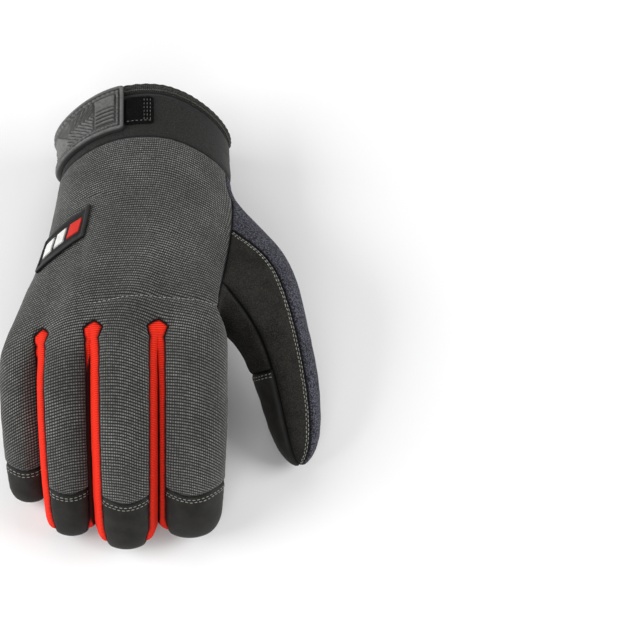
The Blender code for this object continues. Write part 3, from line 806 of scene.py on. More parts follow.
def seam_group(face):
    """Number of the sewn panel that a face belongs to. The cuff is one panel under its strap."""
    return min(face.material_index, PANEL["cuff_band"])


def distances(form, sources, limit):
    """Distance over the surface from the source points, for the points within the limit, and the
    source that each is nearest to."""
    best = {index: 0.0 for index in sources}
    nearest = {index: index for index in sources}
    queue = [(0.0, index) for index in sources]
    heapq.heapify(queue)
    while queue:
        reach, index = heapq.heappop(queue)
        if reach > best[index]:
            continue
        vert = form.verts[index]
        for edge in vert.link_edges:
            other = edge.other_vert(vert)
            total = reach + edge.calc_length()
            if total < limit and total < best.get(other.index, limit):
                best[other.index] = total
                nearest[other.index] = nearest[index]
                heapq.heappush(queue, (total, other.index))
    return best, nearest


def seam_between(form, first, second):
    """Points of the seams between two groups of panels."""
    first, second = {PANEL[name] for name in first}, {PANEL[name] for name in second}
    points = set()
    for edge in form.edges:
        found = {face.material_index for face in edge.link_faces}
        if found & first and found & second:
            points.update(vert.index for vert in edge.verts)
    return points


def slide_gusset_seams(form):
    """Slides the gussets' seams over the surface: apart below each round top, then together."""
    form.verts.ensure_lookup_table()
    form.verts.index_update()
    form.normal_update()
    tree = BVHTree.FromBMesh(form)
    palm = seam_between(form, GUSSETS, ("palm_panel", "index_touch_pad"))
    from_palm, _ = distances(form, palm, SEAM_SLIDE_FADE[1])
    moves = {}
    for name in GUSSETS:
        seam = seam_between(form, (name,), ("back_panel", *CAPS))
        top = max(form.verts[index].co.y for index in seam)
        gusset = {
            vert
            for face in form.faces
            if face.material_index == PANEL[name]
            for vert in face.verts
        }
        inward = {}
        for index in seam:
            place = form.verts[index].co
            level = [vert.co.x for vert in gusset if abs(vert.co.y - place.y) < 1.5 * MM]
            aside = (sum(level) / len(level) - place.x) / (1.5 * MM)
            inward[index] = Vector((min(max(aside, -1.0), 1.0), 0, 0))
        gaps, sources = distances(form, seam, 3 * SEAM_SLIDE_WIDTH)
        for index, gap in gaps.items():
            vert = form.verts[index]
            past = top - form.verts[sources[index]].co.y
            slide = SEAM_TOGETHER * ramp(past, *SEAM_TOGETHER_PLACES)
            slide -= SEAM_APART * math.exp(-(((past - SEAM_APART_PLACE) / SEAM_APART_REACH) ** 2))
            slide *= ramp(from_palm.get(index, SEAM_SLIDE_FADE[1]), *SEAM_SLIDE_FADE)
            slide *= math.exp(-((gap / SEAM_SLIDE_WIDTH) ** 2))
            moves[index] = moves.get(index, Vector()) + inward[sources[index]] * slide
    for index, move in moves.items():
        vert = form.verts[index]
        place, normal = vert.co.copy(), vert.normal.copy()
        for _ in range(SEAM_SLIDE_STEPS):
            step = move / SEAM_SLIDE_STEPS
            step -= normal * step.dot(normal)
            place, normal, _, _ = tree.find_nearest(place + step)
        vert.co = place


def fold_height(place):
    """Soft folds and puckers of the fabric at a place, between about -1 and 1."""
    broad = noise.noise(place / (17 * MM))
    fine = noise.noise(Vector((place.x / (13 * MM), place.y / (6 * MM), place.z / (7 * MM))))
    return broad * 0.9 + fine * 0.45


def line_distance(place, line):
    """Distance from above between a place and a line of points in millimetres."""
    best = 1.0
    for (ax, ay), (bx, by) in zip(line, line[1:]):
        start, end = Vector((ax, ay)) * MM, Vector((bx, by)) * MM
        run = end - start
        here = Vector((place.x, place.y)) - start
        share = min(max(here.dot(run) / run.length_squared, 0.0), 1.0)
        best = min(best, (here - run * share).length)
    return best


def swelling(tree, place, outward):
    """How far a gusset bulges, until it nearly meets the one across from it, and what is left
    between them."""
    start, most = 0.3 * MM, 1.6 * MM
    distance = tree.ray_cast(place + outward * start, outward, 4 * MM)[3]
    if distance is None:
        return most / 2, most
    middle = (distance + start) / 2
    swell = min(middle - 0.12 * MM, most)
    return swell, middle - swell


def add_relief(form):
    """Draws the seams in and lays the folds, and keeps the smooth surface for the walls."""
    sizes = settings()
    slide_gusset_seams(form)
    form.normal_update()
    outward = form.verts.layers.float_vector.new("outward")
    resting = form.verts.layers.float_vector.new("resting")
    seam = form.verts.layers.float.new("seam")
    for vert in form.verts:
        vert[outward] = vert.normal
        vert[resting] = vert.co
        vert[seam] = 1.0
    sources = set()
    for edge in form.edges:
        if len({seam_group(face) for face in edge.link_faces}) > 1:
            sources.update(vert.index for vert in edge.verts)
    near, _ = distances(form, sources, RELIEF_REACH)
    rim = {vert.index for edge in form.edges if len(edge.link_faces) == 1 for vert in edge.verts}
    below, _ = distances(form, rim, RELIEF_REACH)
    gussets = {PANEL[name] for name in GUSSETS}
    tree = BVHTree.FromBMesh(form)
    swells, slits = {}, {}
    for vert in form.verts:
        if all(face.material_index in gussets for face in vert.link_faces):
            swells[vert], slits[vert] = swelling(tree, vert.co, vert.normal)
    for _ in range(SWELL_ROUNDS):
        old = dict(swells)
        for vert in swells:
            others = [edge.other_vert(vert) for edge in vert.link_edges]
            beside = [old[other] for other in others if other in old]
            swells[vert] = sum(beside, old[vert]) / (len(beside) + 1)
    for vert in form.verts:
        groove = abs(below.get(vert.index, RELIEF_REACH) - BINDING_GROOVE)
        gap = min(near.get(vert.index, RELIEF_REACH), groove)
        # The seam layer carries the distance to a seam or to the groove beside the binding; the finishes
        # paint shade along it.
        vert[seam] = gap
        height = -sizes.seam_depth * math.exp(-((gap / sizes.seam_width) ** 2))
        cuff = vert.co.y > -CUFF_LENGTH * 0.25
        strength = CUFF_FOLDS if cuff else min(gap / FOLD_EASE, 1.0)
        if vert in swells:
            # In a gusset it carries the smaller of that distance and twice the slit to the gusset
            # across, so painted shade also fills the narrow slits.
            vert[seam] = min(gap, slits[vert] * 2)
            strength = GUSSET_FOLDS
            height += swells[vert] * (1 - math.exp(-((gap / SWELL_EASE) ** 2)))
        height += sizes.fold_depth * strength * fold_height(vert.co)
        pucker = noise.noise(vert.co / PUCKER_SIZE) * math.exp(-gap / PUCKER_REACH)
        height += pucker * PUCKER_HEIGHT
        if vert.normal.z > 0.2 and vert.co.y < CREASES_START:
            for crease in BACK_CREASES:
                away = line_distance(vert.co, crease.places) / (crease.width * MM)
                height -= crease.depth * MM * math.exp(-(away**2))
        vert.co += vert[outward] * height
    for vert in form.verts:
        floor = CUFF_LIFT if vert[resting].y > -CUFF_LENGTH * 0.8 else 0.0
        vert.co.z = max(vert.co.z, floor)
        rest = vert[resting]
        vert[resting] = Vector((rest.x, rest.y, max(rest.z, floor)))


FORMS = {}


def glove_form():
    """The finished form, built once and shared by the pieces."""
    if "glove" not in FORMS:
        form = smoothed(glove_cage())
        add_relief(form)
        form.normal_update()
        FORMS["glove"] = form
    return FORMS["glove"]


# Pieces


def add_piece(name, bm, finish, slot, nodes, sharp=50):
    """Makes the piece's object, in place, and hides the nodes that it stands for."""
    mesh = bpy.data.meshes.new(name)
    bm.to_mesh(mesh)
    bm.free()
    mesh.materials.clear()
    mesh.materials.append(finish)
    for polygon in mesh.polygons:
        polygon.material_index = 0
    mesh.shade_smooth()
    mesh.set_sharp_from_angle(angle=math.radians(sharp))
    piece = bpy.data.objects.new(name, mesh)
    bpy.context.scene.collection.objects.link(piece)
    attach(piece, "root")
    if nodes:
        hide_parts(*nodes)
    return piece


def region(names):
    """A copy of the form with only the faces of the named panels."""
    cut = glove_form().copy()
    numbers = {PANEL[name] for name in names}
    gone = [face for face in cut.faces if face.material_index not in numbers]
    bmesh.ops.delete(cut, geom=gone, context="FACES")
    cut.normal_update()
    return cut


def region_tree(names):
    """A search tree of the named panels' outer faces."""
    cut = region(names)
    tree = BVHTree.FromBMesh(cut)
    cut.free()
    return tree


def draw_back_border(bm, distance):
    """Pulls an open border in over its own surface, which leaves a fine dark line at the seam."""
    moves = {}
    for edge in bm.edges:
        if len(edge.link_faces) != 1:
            continue
        face = edge.link_faces[0]
        run = (edge.verts[1].co - edge.verts[0].co).normalized()
        inward = face.normal.cross(run)
        middle = (edge.verts[0].co + edge.verts[1].co) / 2
        if inward.dot(face.calc_center_median() - middle) < 0:
            inward.negate()
        for vert in edge.verts:
            moves.setdefault(vert, []).append(inward)
    for vert, inwards in moves.items():
        total = sum(inwards, Vector())
        vert.co += total.normalized() * distance


def sewn_panel(names, wall, gap=0.07 * MM):
    """A panel of the form with its wall: the outer side has the relief, the inner is smooth."""
    cut = region(names)
    draw_back_border(cut, gap)
    outward = cut.verts.layers.float_vector["outward"]
    resting = cut.verts.layers.float_vector["resting"]
    made = bmesh.ops.extrude_face_region(cut, geom=cut.faces[:], use_keep_orig=True)
    for vert in made["geom"]:
        if isinstance(vert, bmesh.types.BMVert):
            vert.co = vert[resting] - vert[outward] * wall
    bmesh.ops.recalc_face_normals(cut, faces=cut.faces)
    return cut


class Surface:
    """A region of the form on which a piece is laid by its layout: across and along in metres."""

    def __init__(self, names):
        cut = region(names)
        bmesh.ops.triangulate(cut, faces=cut.faces)
        cut.verts.ensure_lookup_table()
        layout = cut.loops.layers.uv["surface"]
        outward = cut.verts.layers.float_vector["outward"]
        resting = cut.verts.layers.float_vector["resting"]
        flat, self.places, self.normals = [], [], []
        for face in cut.faces:
            flat.extend(Vector((*loop[layout].uv, 0)) for loop in face.loops)
            self.places.append([Vector(loop.vert[resting]) for loop in face.loops])
            self.normals.append([Vector(loop.vert[outward]) for loop in face.loops])
        corners = [(3 * n, 3 * n + 1, 3 * n + 2) for n in range(len(self.places))]
        self.flat = flat
        self.tree = BVHTree.FromPolygons(flat, corners)
        self.low = Vector((min(p.x for p in flat), min(p.y for p in flat)))
        self.high = Vector((max(p.x for p in flat), max(p.y for p in flat)))
        cut.free()

    def at(self, across, along, height=0.0):
        """The point of the surface at a place of the layout, raised by height."""
        near, _, index, _ = self.tree.find_nearest(Vector((across, along, 0)))
        past = Vector((0, near.y - along, 0))
        corners = self.flat[3 * index : 3 * index + 3]
        place = barycentric_transform(near, *corners, *self.places[index])
        normal = barycentric_transform(near, *corners, *self.normals[index]).normalized()
        return place + normal * height + past

    def up(self, place):
        """The direction away from the surface at the point nearest to a place."""
        nearest = min(range(len(self.places)), key=lambda n: (self.places[n][0] - place).length)
        return self.normals[nearest][0].normalized()


# Shader maths


class Shade:
    """A socket of a material. Operators on it add Math nodes, add() adds any other node."""

    def __init__(self, tree, socket=None):
        self.tree, self.socket = tree, socket

    def add(self, kind, options=None, inputs=None, output=0):
        node = self.tree.nodes.new(kind)
        for name, value in (options or {}).items():
            setattr(node, name, value)
        for key, value in (inputs or {}).items():
            if isinstance(value, Shade):
                self.tree.links.new(value.socket, node.inputs[key])
            else:
                node.inputs[key].default_value = value
        return Shade(self.tree, node.outputs[output])

    def math(self, operation, *values):
        options = {"operation": operation}
        return self.add("ShaderNodeMath", options, dict(enumerate(values)))

    def __add__(self, other):
        return self.math("ADD", self, other)

    __radd__ = __add__

    def __mul__(self, other):
        return self.math("MULTIPLY", self, other)

    __rmul__ = __mul__

    def __sub__(self, other):
        return self.math("SUBTRACT", self, other)

    def __rsub__(self, other):
        return self.math("SUBTRACT", other, self)

    def __truediv__(self, other):
        return self.math("DIVIDE", self, other)

    def __pow__(self, other):
        return self.math("POWER", self, other)

    def wave(self):
        """Turns whole numbers to a wave between 0 and 1, with 1 at each whole number."""
        return self.math("COSINE", self * TAU) * 0.5 + 0.5

    def step(self, low, high):
        """Rises smoothly from 0 to 1 between two values."""
        options = {"interpolation_type": "SMOOTHSTEP"}
        ends = {"Value": self, "From Min": low, "From Max": high}
        return self.add("ShaderNodeMapRange", options, ends)

    def mix(self, first, second):
        """A colour between two others by this share."""
        options = {"data_type": "RGBA", "blend_type": "MIX", "clamp_factor": True}
        return self.add("ShaderNodeMix", options, {0: self, 6: first, 7: second}, output=2)

    def noise(self, scale, detail=2.0, roughness=0.5):
        """Soft noise at this place, with a scale in spots per metre."""
        inputs = {"Vector": self, "Scale": scale, "Detail": detail, "Roughness": roughness}
        return self.add("ShaderNodeTexNoise", {}, inputs)

    def cells(self, scale):
        """Distance to the nearest of scattered points."""
        return self.add("ShaderNodeTexVoronoi", {}, {"Vector": self, "Scale": scale})

    def bump(self, distance, strength=1.0):
        inputs = {"Strength": strength, "Distance": distance, "Height": self}
        return self.add("ShaderNodeBump", {}, inputs)


# Colour of the shade painted along seams, grooves and the slits between gussets
PAINTED_SEAM_SHADE = (0.0015, 0.0015, 0.0015, 1.0)


class Finish:
    """A new material with its Principled shader and its coordinates."""

    def __init__(self, name):
        self.material = bpy.data.materials.new(name)
        self.material.use_nodes = True
        self.tree = self.material.node_tree
        self.shader = self.tree.nodes["Principled BSDF"]
        self.start = Shade(self.tree)
        self.place = self.start.add("ShaderNodeTexCoord", output=3)

    def layout(self):
        """Places across and along the piece's own layout, in metres."""
        uv = self.start.add("ShaderNodeUVMap", {"uv_map": "surface"})
        across = self.start.add("ShaderNodeSeparateXYZ", {}, {0: uv}, output=0)
        along = Shade(self.tree, across.socket.node.outputs[1])
        return across, along

    def measured(self, name):
        """A number that the piece's points carry."""
        return self.start.add("ShaderNodeAttribute", {"attribute_name": name}, output=2)

    def with_painted_seam_shade(self, color):
        """The colour, darker along the seams, where shade is painted."""
        return self.measured("seam").step(0.1 * MM, 1.1 * MM).mix(PAINTED_SEAM_SHADE, color)

    def set(self, **values):
        for name, value in values.items():
            title = name.replace("_", " ").title().replace("Ior", "IOR")
            socket = self.shader.inputs[title]
            if isinstance(value, Shade):
                self.tree.links.new(value.socket, socket)
            else:
                socket.default_value = value
        return self.material


def opaque(color):
    return (*color, 1.0)


def shaded(color, factor):
    """A colour made lighter or darker by a number."""
    return (*(min(part * factor, 1.0) for part in color), 1.0)


def knit_finish():
    """Rows of pale dashes between dark lines, with dark dots between the columns."""
    sizes = settings()
    finish = Finish("charcoal_knit")
    across, along = finish.layout()
    sway = finish.place.noise(55, 1.0) * 0.5
    rows = (along / sizes.knit_row + sway).wave().step(0.12, 0.8)
    columns = (across / sizes.knit_column + sway).wave().step(0.1, 0.75)
    loops = rows * (columns * 0.75 + 0.25)
    heather = finish.place.noise(900, 1.0).step(0.3, 0.75)
    patch = finish.place.noise(45, 3.0).step(0.3, 0.75)
    tint = sizes.knit_light
    dim = heather.mix(shaded(tint, 0.5), shaded(tint, 1.0))
    light = patch.mix(dim, heather.mix(shaded(tint, 0.85), shaded(tint, 1.6)))
    color = finish.with_painted_seam_shade(loops.mix(opaque(sizes.knit_dark), light))
    normal = loops.bump(0.35 * MM, 0.9)
    return finish.set(
        base_color=color, roughness=0.92, normal=normal, specular_ior_level=0.12, sheen_weight=0.14
    )


def leather_finish():
    sizes = settings()
    finish = Finish("black_synthetic_leather")
    nap = finish.place.noise(2100, 3.0, 0.7)
    broad = finish.place.noise(120, 2.0)
    grain = nap.step(0.38, 0.72)
    tint = sizes.leather_color
    shade = grain.mix(shaded(tint, 0.45), shaded(tint, 2.6))
    light = grain.mix(opaque(tint), shaded(tint, 3.1))
    color = finish.with_painted_seam_shade(broad.step(0.3, 0.7).mix(shade, light))
    normal = (nap * 0.7 + broad).bump(0.25 * MM, 0.7)
    return finish.set(base_color=color, roughness=0.9, normal=normal, specular_ior_level=0.15)


def cap_finish():
    sizes = settings()
    finish = Finish("smooth_touch_leather")
    grain = finish.place.cells(1500)
    soft = finish.place.noise(210, 3.0)
    shine = soft * 0.16 + 0.5
    tint = sizes.cap_color
    color = finish.with_painted_seam_shade(soft.step(0.3, 0.75).mix(shaded(tint, 0.75), shaded(tint, 1.5)))
    normal = (grain * 0.5 + soft).bump(0.12 * MM, 0.5)
    return finish.set(base_color=color, roughness=shine, normal=normal, specular_ior_level=0.22)


def gusset_finish():
    sizes = settings()
    finish = Finish("red_stretch_fabric")
    axes = finish.start.add("ShaderNodeSeparateXYZ", {}, {0: finish.place}, output=1)
    height = Shade(finish.tree, axes.socket.node.outputs[2])
    sway = finish.place.noise(190, 1.0) * 0.6
    ribs = ((axes + height * 0.8) / (0.9 * MM) + sway).wave()
    knots = ((axes - height * 1.1) / (0.7 * MM)).wave()
    weave = ribs * 0.75 + ribs * knots * 0.25
    tint = sizes.gusset_color
    color = weave.step(0.15, 0.8).mix(shaded(tint, 0.6), shaded(tint, 1.12))
    color = finish.with_painted_seam_shade(color)
    normal = weave.bump(0.25 * MM, 0.6)
    return finish.set(base_color=color, roughness=0.75, normal=normal, specular_ior_level=0.15)


def terry_finish():
    sizes = settings()
    finish = Finish("navy_terry")
    loops = finish.place.cells(1250)
    fuzz = finish.place.noise(1700, 2.0, 0.7)
    broad = finish.place.noise(60, 2.0)
    specks = (fuzz + loops * -0.6).step(0.05, 0.42)
    tint = sizes.terry_color
    shade = specks.mix(shaded(tint, 0.4), shaded(tint, 2.4))
    light = specks.mix(shaded(tint, 0.55), shaded(tint, 3.2))
    color = finish.with_painted_seam_shade(broad.step(0.35, 0.7).mix(shade, light))
    normal = (fuzz - loops).bump(0.5 * MM, 1.0)
    return finish.set(
        base_color=color, roughness=0.95, normal=normal, specular_ior_level=0.1, sheen_weight=0.08
    )


def neoprene_finish():
    sizes = settings()
    finish = Finish("black_neoprene")
    grain = finish.place.noise(1900, 2.0, 0.75)
    broad = finish.place.noise(55, 2.0)
    tint = sizes.neoprene_color
    color = finish.with_painted_seam_shade(grain.step(0.35, 0.75).mix(shaded(tint, 0.4), shaded(tint, 2.4)))
    normal = (grain + broad * 0.5).bump(0.2 * MM, 0.6)
    return finish.set(
        base_color=color, roughness=0.7, normal=normal, specular_ior_level=0.25, sheen_weight=0.09
    )


def rubber_finish(name="grey_moulded_rubber", factor=1.0):
    sizes = settings()
    finish = Finish(name)
    dust = finish.place.noise(700, 3.0, 0.65)
    broad = finish.place.noise(80, 2.0)
    tint = sizes.rubber_color
    color = dust.step(0.3, 0.75).mix(shaded(tint, 0.8 * factor), shaded(tint, 1.25 * factor))
    # Painted shade: the low parts of the relief are drawn darker.
    raised = finish.measured("relief").step(0.45, 0.95)
    color = raised.mix(shaded(tint, 0.22 * factor), color)
    shine = broad * 0.2 + 0.42
    normal = dust.bump(0.06 * MM, 0.4)
    return finish.set(base_color=color, roughness=shine, normal=normal, specular_ior_level=0.35)


def bar_finish(name, color):
    finish = Finish(name)
    dust = finish.place.noise(700, 3.0, 0.65)
    tone = dust.step(0.3, 0.75).mix(shaded(color, 0.85), opaque(color))
    return finish.set(base_color=tone, roughness=0.5, specular_ior_level=0.35)


def webbing_finish(name="black_webbing", light=0.06):
    finish = Finish(name)
    across, along = finish.layout()
    ribs = (along / (1.3 * MM)).wave()
    turns = ((across / (0.9 * MM)) + ribs * 0.5).wave()
    fuzz = finish.place.noise(1500, 2.0, 0.7)
    weave = ribs * 0.5 + turns * 0.5
    yarn = (light, light, light * 0.9)
    color = (weave * fuzz * 1.8).step(0.15, 0.9).mix(shaded(yarn, 0.08), opaque(yarn))
    normal = weave.bump(0.35 * MM, 0.8)
    return finish.set(base_color=color, roughness=0.88, normal=normal, specular_ior_level=0.15)


def loop_finish():
    """Short dark loops that a strap fastens to."""
    finish = Finish("black_loop_fabric")
    fuzz = finish.place.noise(2300, 3.0, 0.75)
    color = fuzz.step(0.45, 0.8).mix((0.002, 0.002, 0.002, 1), (0.016, 0.016, 0.015, 1))
    normal = fuzz.bump(0.4 * MM, 0.9)
    return finish.set(base_color=color, roughness=0.95, normal=normal, specular_ior_level=0.08)


def thread_finish(name="contrast_thread", factor=1.0):
    sizes = settings()
    finish = Finish(name)
    twist = finish.place.noise(2500, 1.0)
    tint = sizes.thread_color
    color = twist.step(0.3, 0.7).mix(shaded(tint, 0.7 * factor), shaded(tint, 1.3 * factor))
    return finish.set(base_color=color, roughness=0.75, normal=twist.bump(0.1 * MM, 0.5))


FINISHES = {}


def finish_of(slot):
    """The finish of a material slot, made once."""
    makers = {
        "charcoal_knit": knit_finish,
        "black_synthetic_leather": leather_finish,
        "smooth_touch_leather": cap_finish,
        "red_stretch_fabric": gusset_finish,
        "navy_terry": terry_finish,
        "black_neoprene": neoprene_finish,
        "grey_moulded_rubber": rubber_finish,
        "black_webbing": webbing_finish,
        "contrast_thread": thread_finish,
        "dark_thread": lambda: thread_finish("dark_thread", 0.35),
        "loop_fabric": loop_finish,
    }
    if slot not in FINISHES:
        FINISHES[slot] = makers[slot]()
    return FINISHES[slot]


def add_sewn(name, nodes, wall, slot, finish=None):
    """A sewn panel that stands for the nodes of the same regions."""
    return add_piece(name, sewn_panel(nodes, wall), finish or finish_of(slot), slot, nodes[:1])


# Strap, tab and badges


def rounded(x, y, half_x, half_y, radius):
    """Pulls a point of a rectangle's grid in so that the rectangle's corners are round."""
    over_x, over_y = abs(x) - (half_x - radius), abs(y) - (half_y - radius)
    if over_x <= 0 or over_y <= 0:
        return x, y
    a, b = over_x / radius, over_y / radius
    round_x = a * math.sqrt(1 - b * b / 2) * radius + half_x - radius
    round_y = b * math.sqrt(1 - a * a / 2) * radius + half_y - radius
    return math.copysign(round_x, x), math.copysign(round_y, y)


def ramp(value, low, high):
    """Smooth rise from 0 to 1."""
    share = min(max((value - low) / (high - low), 0.0), 1.0)
    return share * share * (3 - 2 * share)


def ridge(distance, half_width, soft):
    """1 on a ridge's middle, falling to 0 past its half width."""
    return 1 - ramp(abs(distance), half_width, half_width + soft)


def moulded(place_at, half_x, half_y, radius, raised, step):
    """A closed strip: a grid laid on a surface by place_at, and raised by a height function of its
    place and its distance from the border."""
    bm = bmesh.new()
    columns, rows = round(2 * half_x / step), round(2 * half_y / step)
    bmesh.ops.create_grid(bm, x_segments=columns, y_segments=rows, size=1.0)
    flat = bm.verts.layers.float_vector.new("flat")
    seam = bm.verts.layers.float.new("seam")
    relief = bm.verts.layers.float.new("relief")
    layout = bm.loops.layers.uv.new("surface")
    for vert in bm.verts:
        x, y = vert.co.x * half_x, vert.co.y * half_y
        inset = min(half_x - abs(x), half_y - abs(y))
        x, y = rounded(x, y, half_x, half_y, radius)
        vert[flat] = Vector((x, y, inset))
    made = bmesh.ops.extrude_face_region(bm, geom=bm.faces[:], use_keep_orig=True)
    deep = {each for each in made["geom"] if isinstance(each, bmesh.types.BMVert)}
    heights = {vert: 0.0 if vert in deep else raised(*vert[flat]) for vert in bm.verts}
    highest = max(heights.values())
    for vert, height in heights.items():
        x, y, inset = vert[flat]
        vert.co = place_at(x, y, height)
        # The seam layer carries the distance from the border; finishes with painted seam shade darken
        # the border by it.
        vert[seam] = inset
        vert[relief] = height / highest
    for face in bm.faces:
        for loop in face.loops:
            loop[layout].uv = loop.vert[flat].xy
    bmesh.ops.recalc_face_normals(bm, faces=bm.faces)
    return bm


def grown(surface, growth):
    """Middle and half sizes of a layout, grown towards the rim and towards the hand."""
    low, high = surface.low - Vector((0, growth[0])), surface.high + Vector((0, growth[1]))
    return (low + high) / 2, (high - low) / 2


def on_cuff(surface, middle, half_y=1.0):
    """Lays places measured from a middle on the cuff. It rides up over the binding."""

    def place_at(x, y, height):
        over = BINDING_COVER * ramp(-half_y - y, -BINDING_RIDE, -BINDING_RIDE / 3)
        place = surface.at(middle.x + x, middle.y + y, SEAM_LIFT + over + height)
        return Vector((place.x, place.y, max(place.z, 0.05 * MM)))

    return place_at


def border_height(inset, thickness):
    """Height of a moulded strip near its border: a round edge, a rim, a groove and a second rim."""
    edge = 0.62 + 0.38 * ramp(inset, 0.0, 0.7 * MM)
    groove = ridge(inset - 1.8 * MM, 0.3 * MM, 0.3 * MM)
    field = ramp(inset, 3.0 * MM, 3.4 * MM)
    return thickness * edge - 1.0 * MM * groove - 1.0 * MM * field


def strap_height(x, y, inset, half_length):
    """Relief of the closure strap. Its end on the back of the cuff is at high x."""
    height = border_height(inset, STRAP_THICKNESS)
    dash = ridge(inset - 2.6 * MM, 0.25 * MM, 0.15 * MM)
    height -= 0.6 * MM * dash * ramp(math.cos(TAU * (x + y) / (2.2 * MM)), 0.2, 0.6)
    if inset < 3.5 * MM:
        return height
    back = half_length - x
    front = half_length + x
    if back < PLATE_ZONE:
        across = ridge(back - 8.7 * MM, 4.4 * MM, 0.3 * MM)
        bare = ridge(y + 4.6 * MM, 2.7 * MM, 0.3 * MM)
        ribs = ramp(math.cos(TAU * (y + 0.4 * MM) / (2.1 * MM)), -0.3, 0.3)
        height += 1.0 * MM * across * (bare if y < -1.2 * MM else ribs)
    elif back < CHEVRON_ZONE:
        chevron = (back + abs(y + 1.0 * MM) * 1.1) / (2.0 * MM)
        height += 0.9 * MM * (0.5 + 0.5 * math.cos(TAU * chevron))
    elif back < SLANT_ZONE:
        slant = back + y * 0.9
        height += 0.7 * MM * ridge(slant - 35.5 * MM, 5.5 * MM, 0.4 * MM)
    elif front > PALM_RIB_ZONE:
        height += 0.6 * MM * (0.5 + 0.5 * math.cos(TAU * (x + y * 1.2) / (1.8 * MM)))
    elif front > PALM_PLATE_ZONE:
        height += 0.9 * MM * (0.5 + 0.5 * math.cos(TAU * y / (2.6 * MM)))
    else:
        away = max(abs(front - 9 * MM) - 4.2 * MM, abs(y) - 4.0 * MM)
        height += 0.9 * MM * ridge(away, 0.35 * MM, 0.25 * MM)
    return height


def patch_height(x, y, inset):
    """Relief of the loop fabric: a soft edge and short loops."""
    loops = noise.noise(Vector((x, y, 0)) / (0.7 * MM))
    return PATCH_THICKNESS * (0.35 + 0.65 * ramp(inset, 0.0, 0.8 * MM)) + 0.12 * MM * loops


def badge_height(x, y, inset, thickness):
    """Relief of a rubber badge: a raised rim and a lower field."""
    edge = 0.7 + 0.3 * ramp(inset, 0.0, 0.5 * MM)
    field = ramp(inset, 1.2 * MM, 1.6 * MM)
    return thickness * edge - 0.6 * MM * field


def tab_height(x, y, inset):
    """Relief of the woven pull tab: thick ribs across it and a firmer edge."""
    ribs = 0.5 + 0.5 * math.cos(TAU * y / (1.5 * MM))
    return TAB_THICKNESS * (0.75 + 0.25 * ramp(inset, 0.0, 0.6 * MM)) + 0.15 * MM * (ribs - 1)


def tab_place(x, y, height):
    """A place on the pull tab, which bends down past the cuff's rim."""
    past = max(y - TAB_RIM, 0.0) / TAB_FREE_LENGTH
    return Vector((x, y, STRAP_THICKNESS - TAB_THICKNESS - TAB_CORNER_DROP * past**2 + height))


def back_badge_place():
    """How the badge on the back lies: it follows the hand below its middle."""
    tree = BVHTree.FromBMesh(glove_form())
    centre = Vector((-CUFF_WIDTH * 0.45, -CUFF_LENGTH / 2 - HAND_LENGTH * 0.5, 1))
    hit = tree.ray_cast(centre, Vector((0, 0, -1)))[0]
    outward = Vector((-0.55, 0.0, 0.83)).normalized()
    along = Vector((0.78, 0.55, 0.42))
    along = (along - outward * along.dot(outward)).normalized()
    across = outward.cross(along)

    def place_at(x, y, height):
        slanted = x + y * BACK_BADGE_SLANT / BACK_BADGE_WIDTH
        start = hit + along * slanted + across * y + outward * BACK_BADGE_LENGTH
        return tree.ray_cast(start, -outward)[0] + outward * (height + BACK_BADGE_LIFT)

    return place_at


def pad_row(rows, exact):
    """A row between a pad's chosen rows, on a smooth curve through them."""
    low = min(max(int(exact), 0), len(rows) - 2)
    share = exact - low
    values = []
    around = (rows[max(low - 1, 0)], rows[low], rows[low + 1], rows[min(low + 2, len(rows) - 1)])
    for before, start, end, after in zip(*around):
        leaving, arriving = (end - before) / 2, (after - start) / 2
        square = 3 * (end - start) - 2 * leaving - arriving
        cube = 2 * (start - end) + leaving + arriving
        values.append(start + share * (leaving + share * (square + share * cube)))
    return PadRow(*values)


def pad_place(rows, length, width, tree):
    """Lays a rectangle's places between a pad's two edges on the palm's surface."""

    def place_at(x, y, height):
        row = pad_row(rows, (x / length + 0.5) * (len(rows) - 1))
        start = Vector((row.across, row.middle + row.width * y / width, -50)) * MM
        place, normal, _, _ = tree.ray_cast(start, Vector((0, 0, 1)))
        return place + normal * (height - PAD_SINK)

    return place_at


def pad_height(x, y, inset):
    """Crown of a quilted pad, which rises in a round slope from its stitched edge."""
    slope = 1 - min(inset / PAD_SLOPE, 1.0)
    return PAD_SINK * 0.9 + PAD_HEIGHT * (1 - slope**2)


def pad_outline(place_at, half_x, half_y, count=160):
    """Places round a pad's edge, at even turns of a flattened ellipse."""
    outline = []
    for number in range(count + 1):
        angle = TAU * number / count
        x, y = math.cos(angle), math.sin(angle)
        stretch = (x**4 + y**4) ** -0.25
        outline.append(place_at(x * stretch * half_x, y * stretch * half_y, PAD_SINK))
    return outline


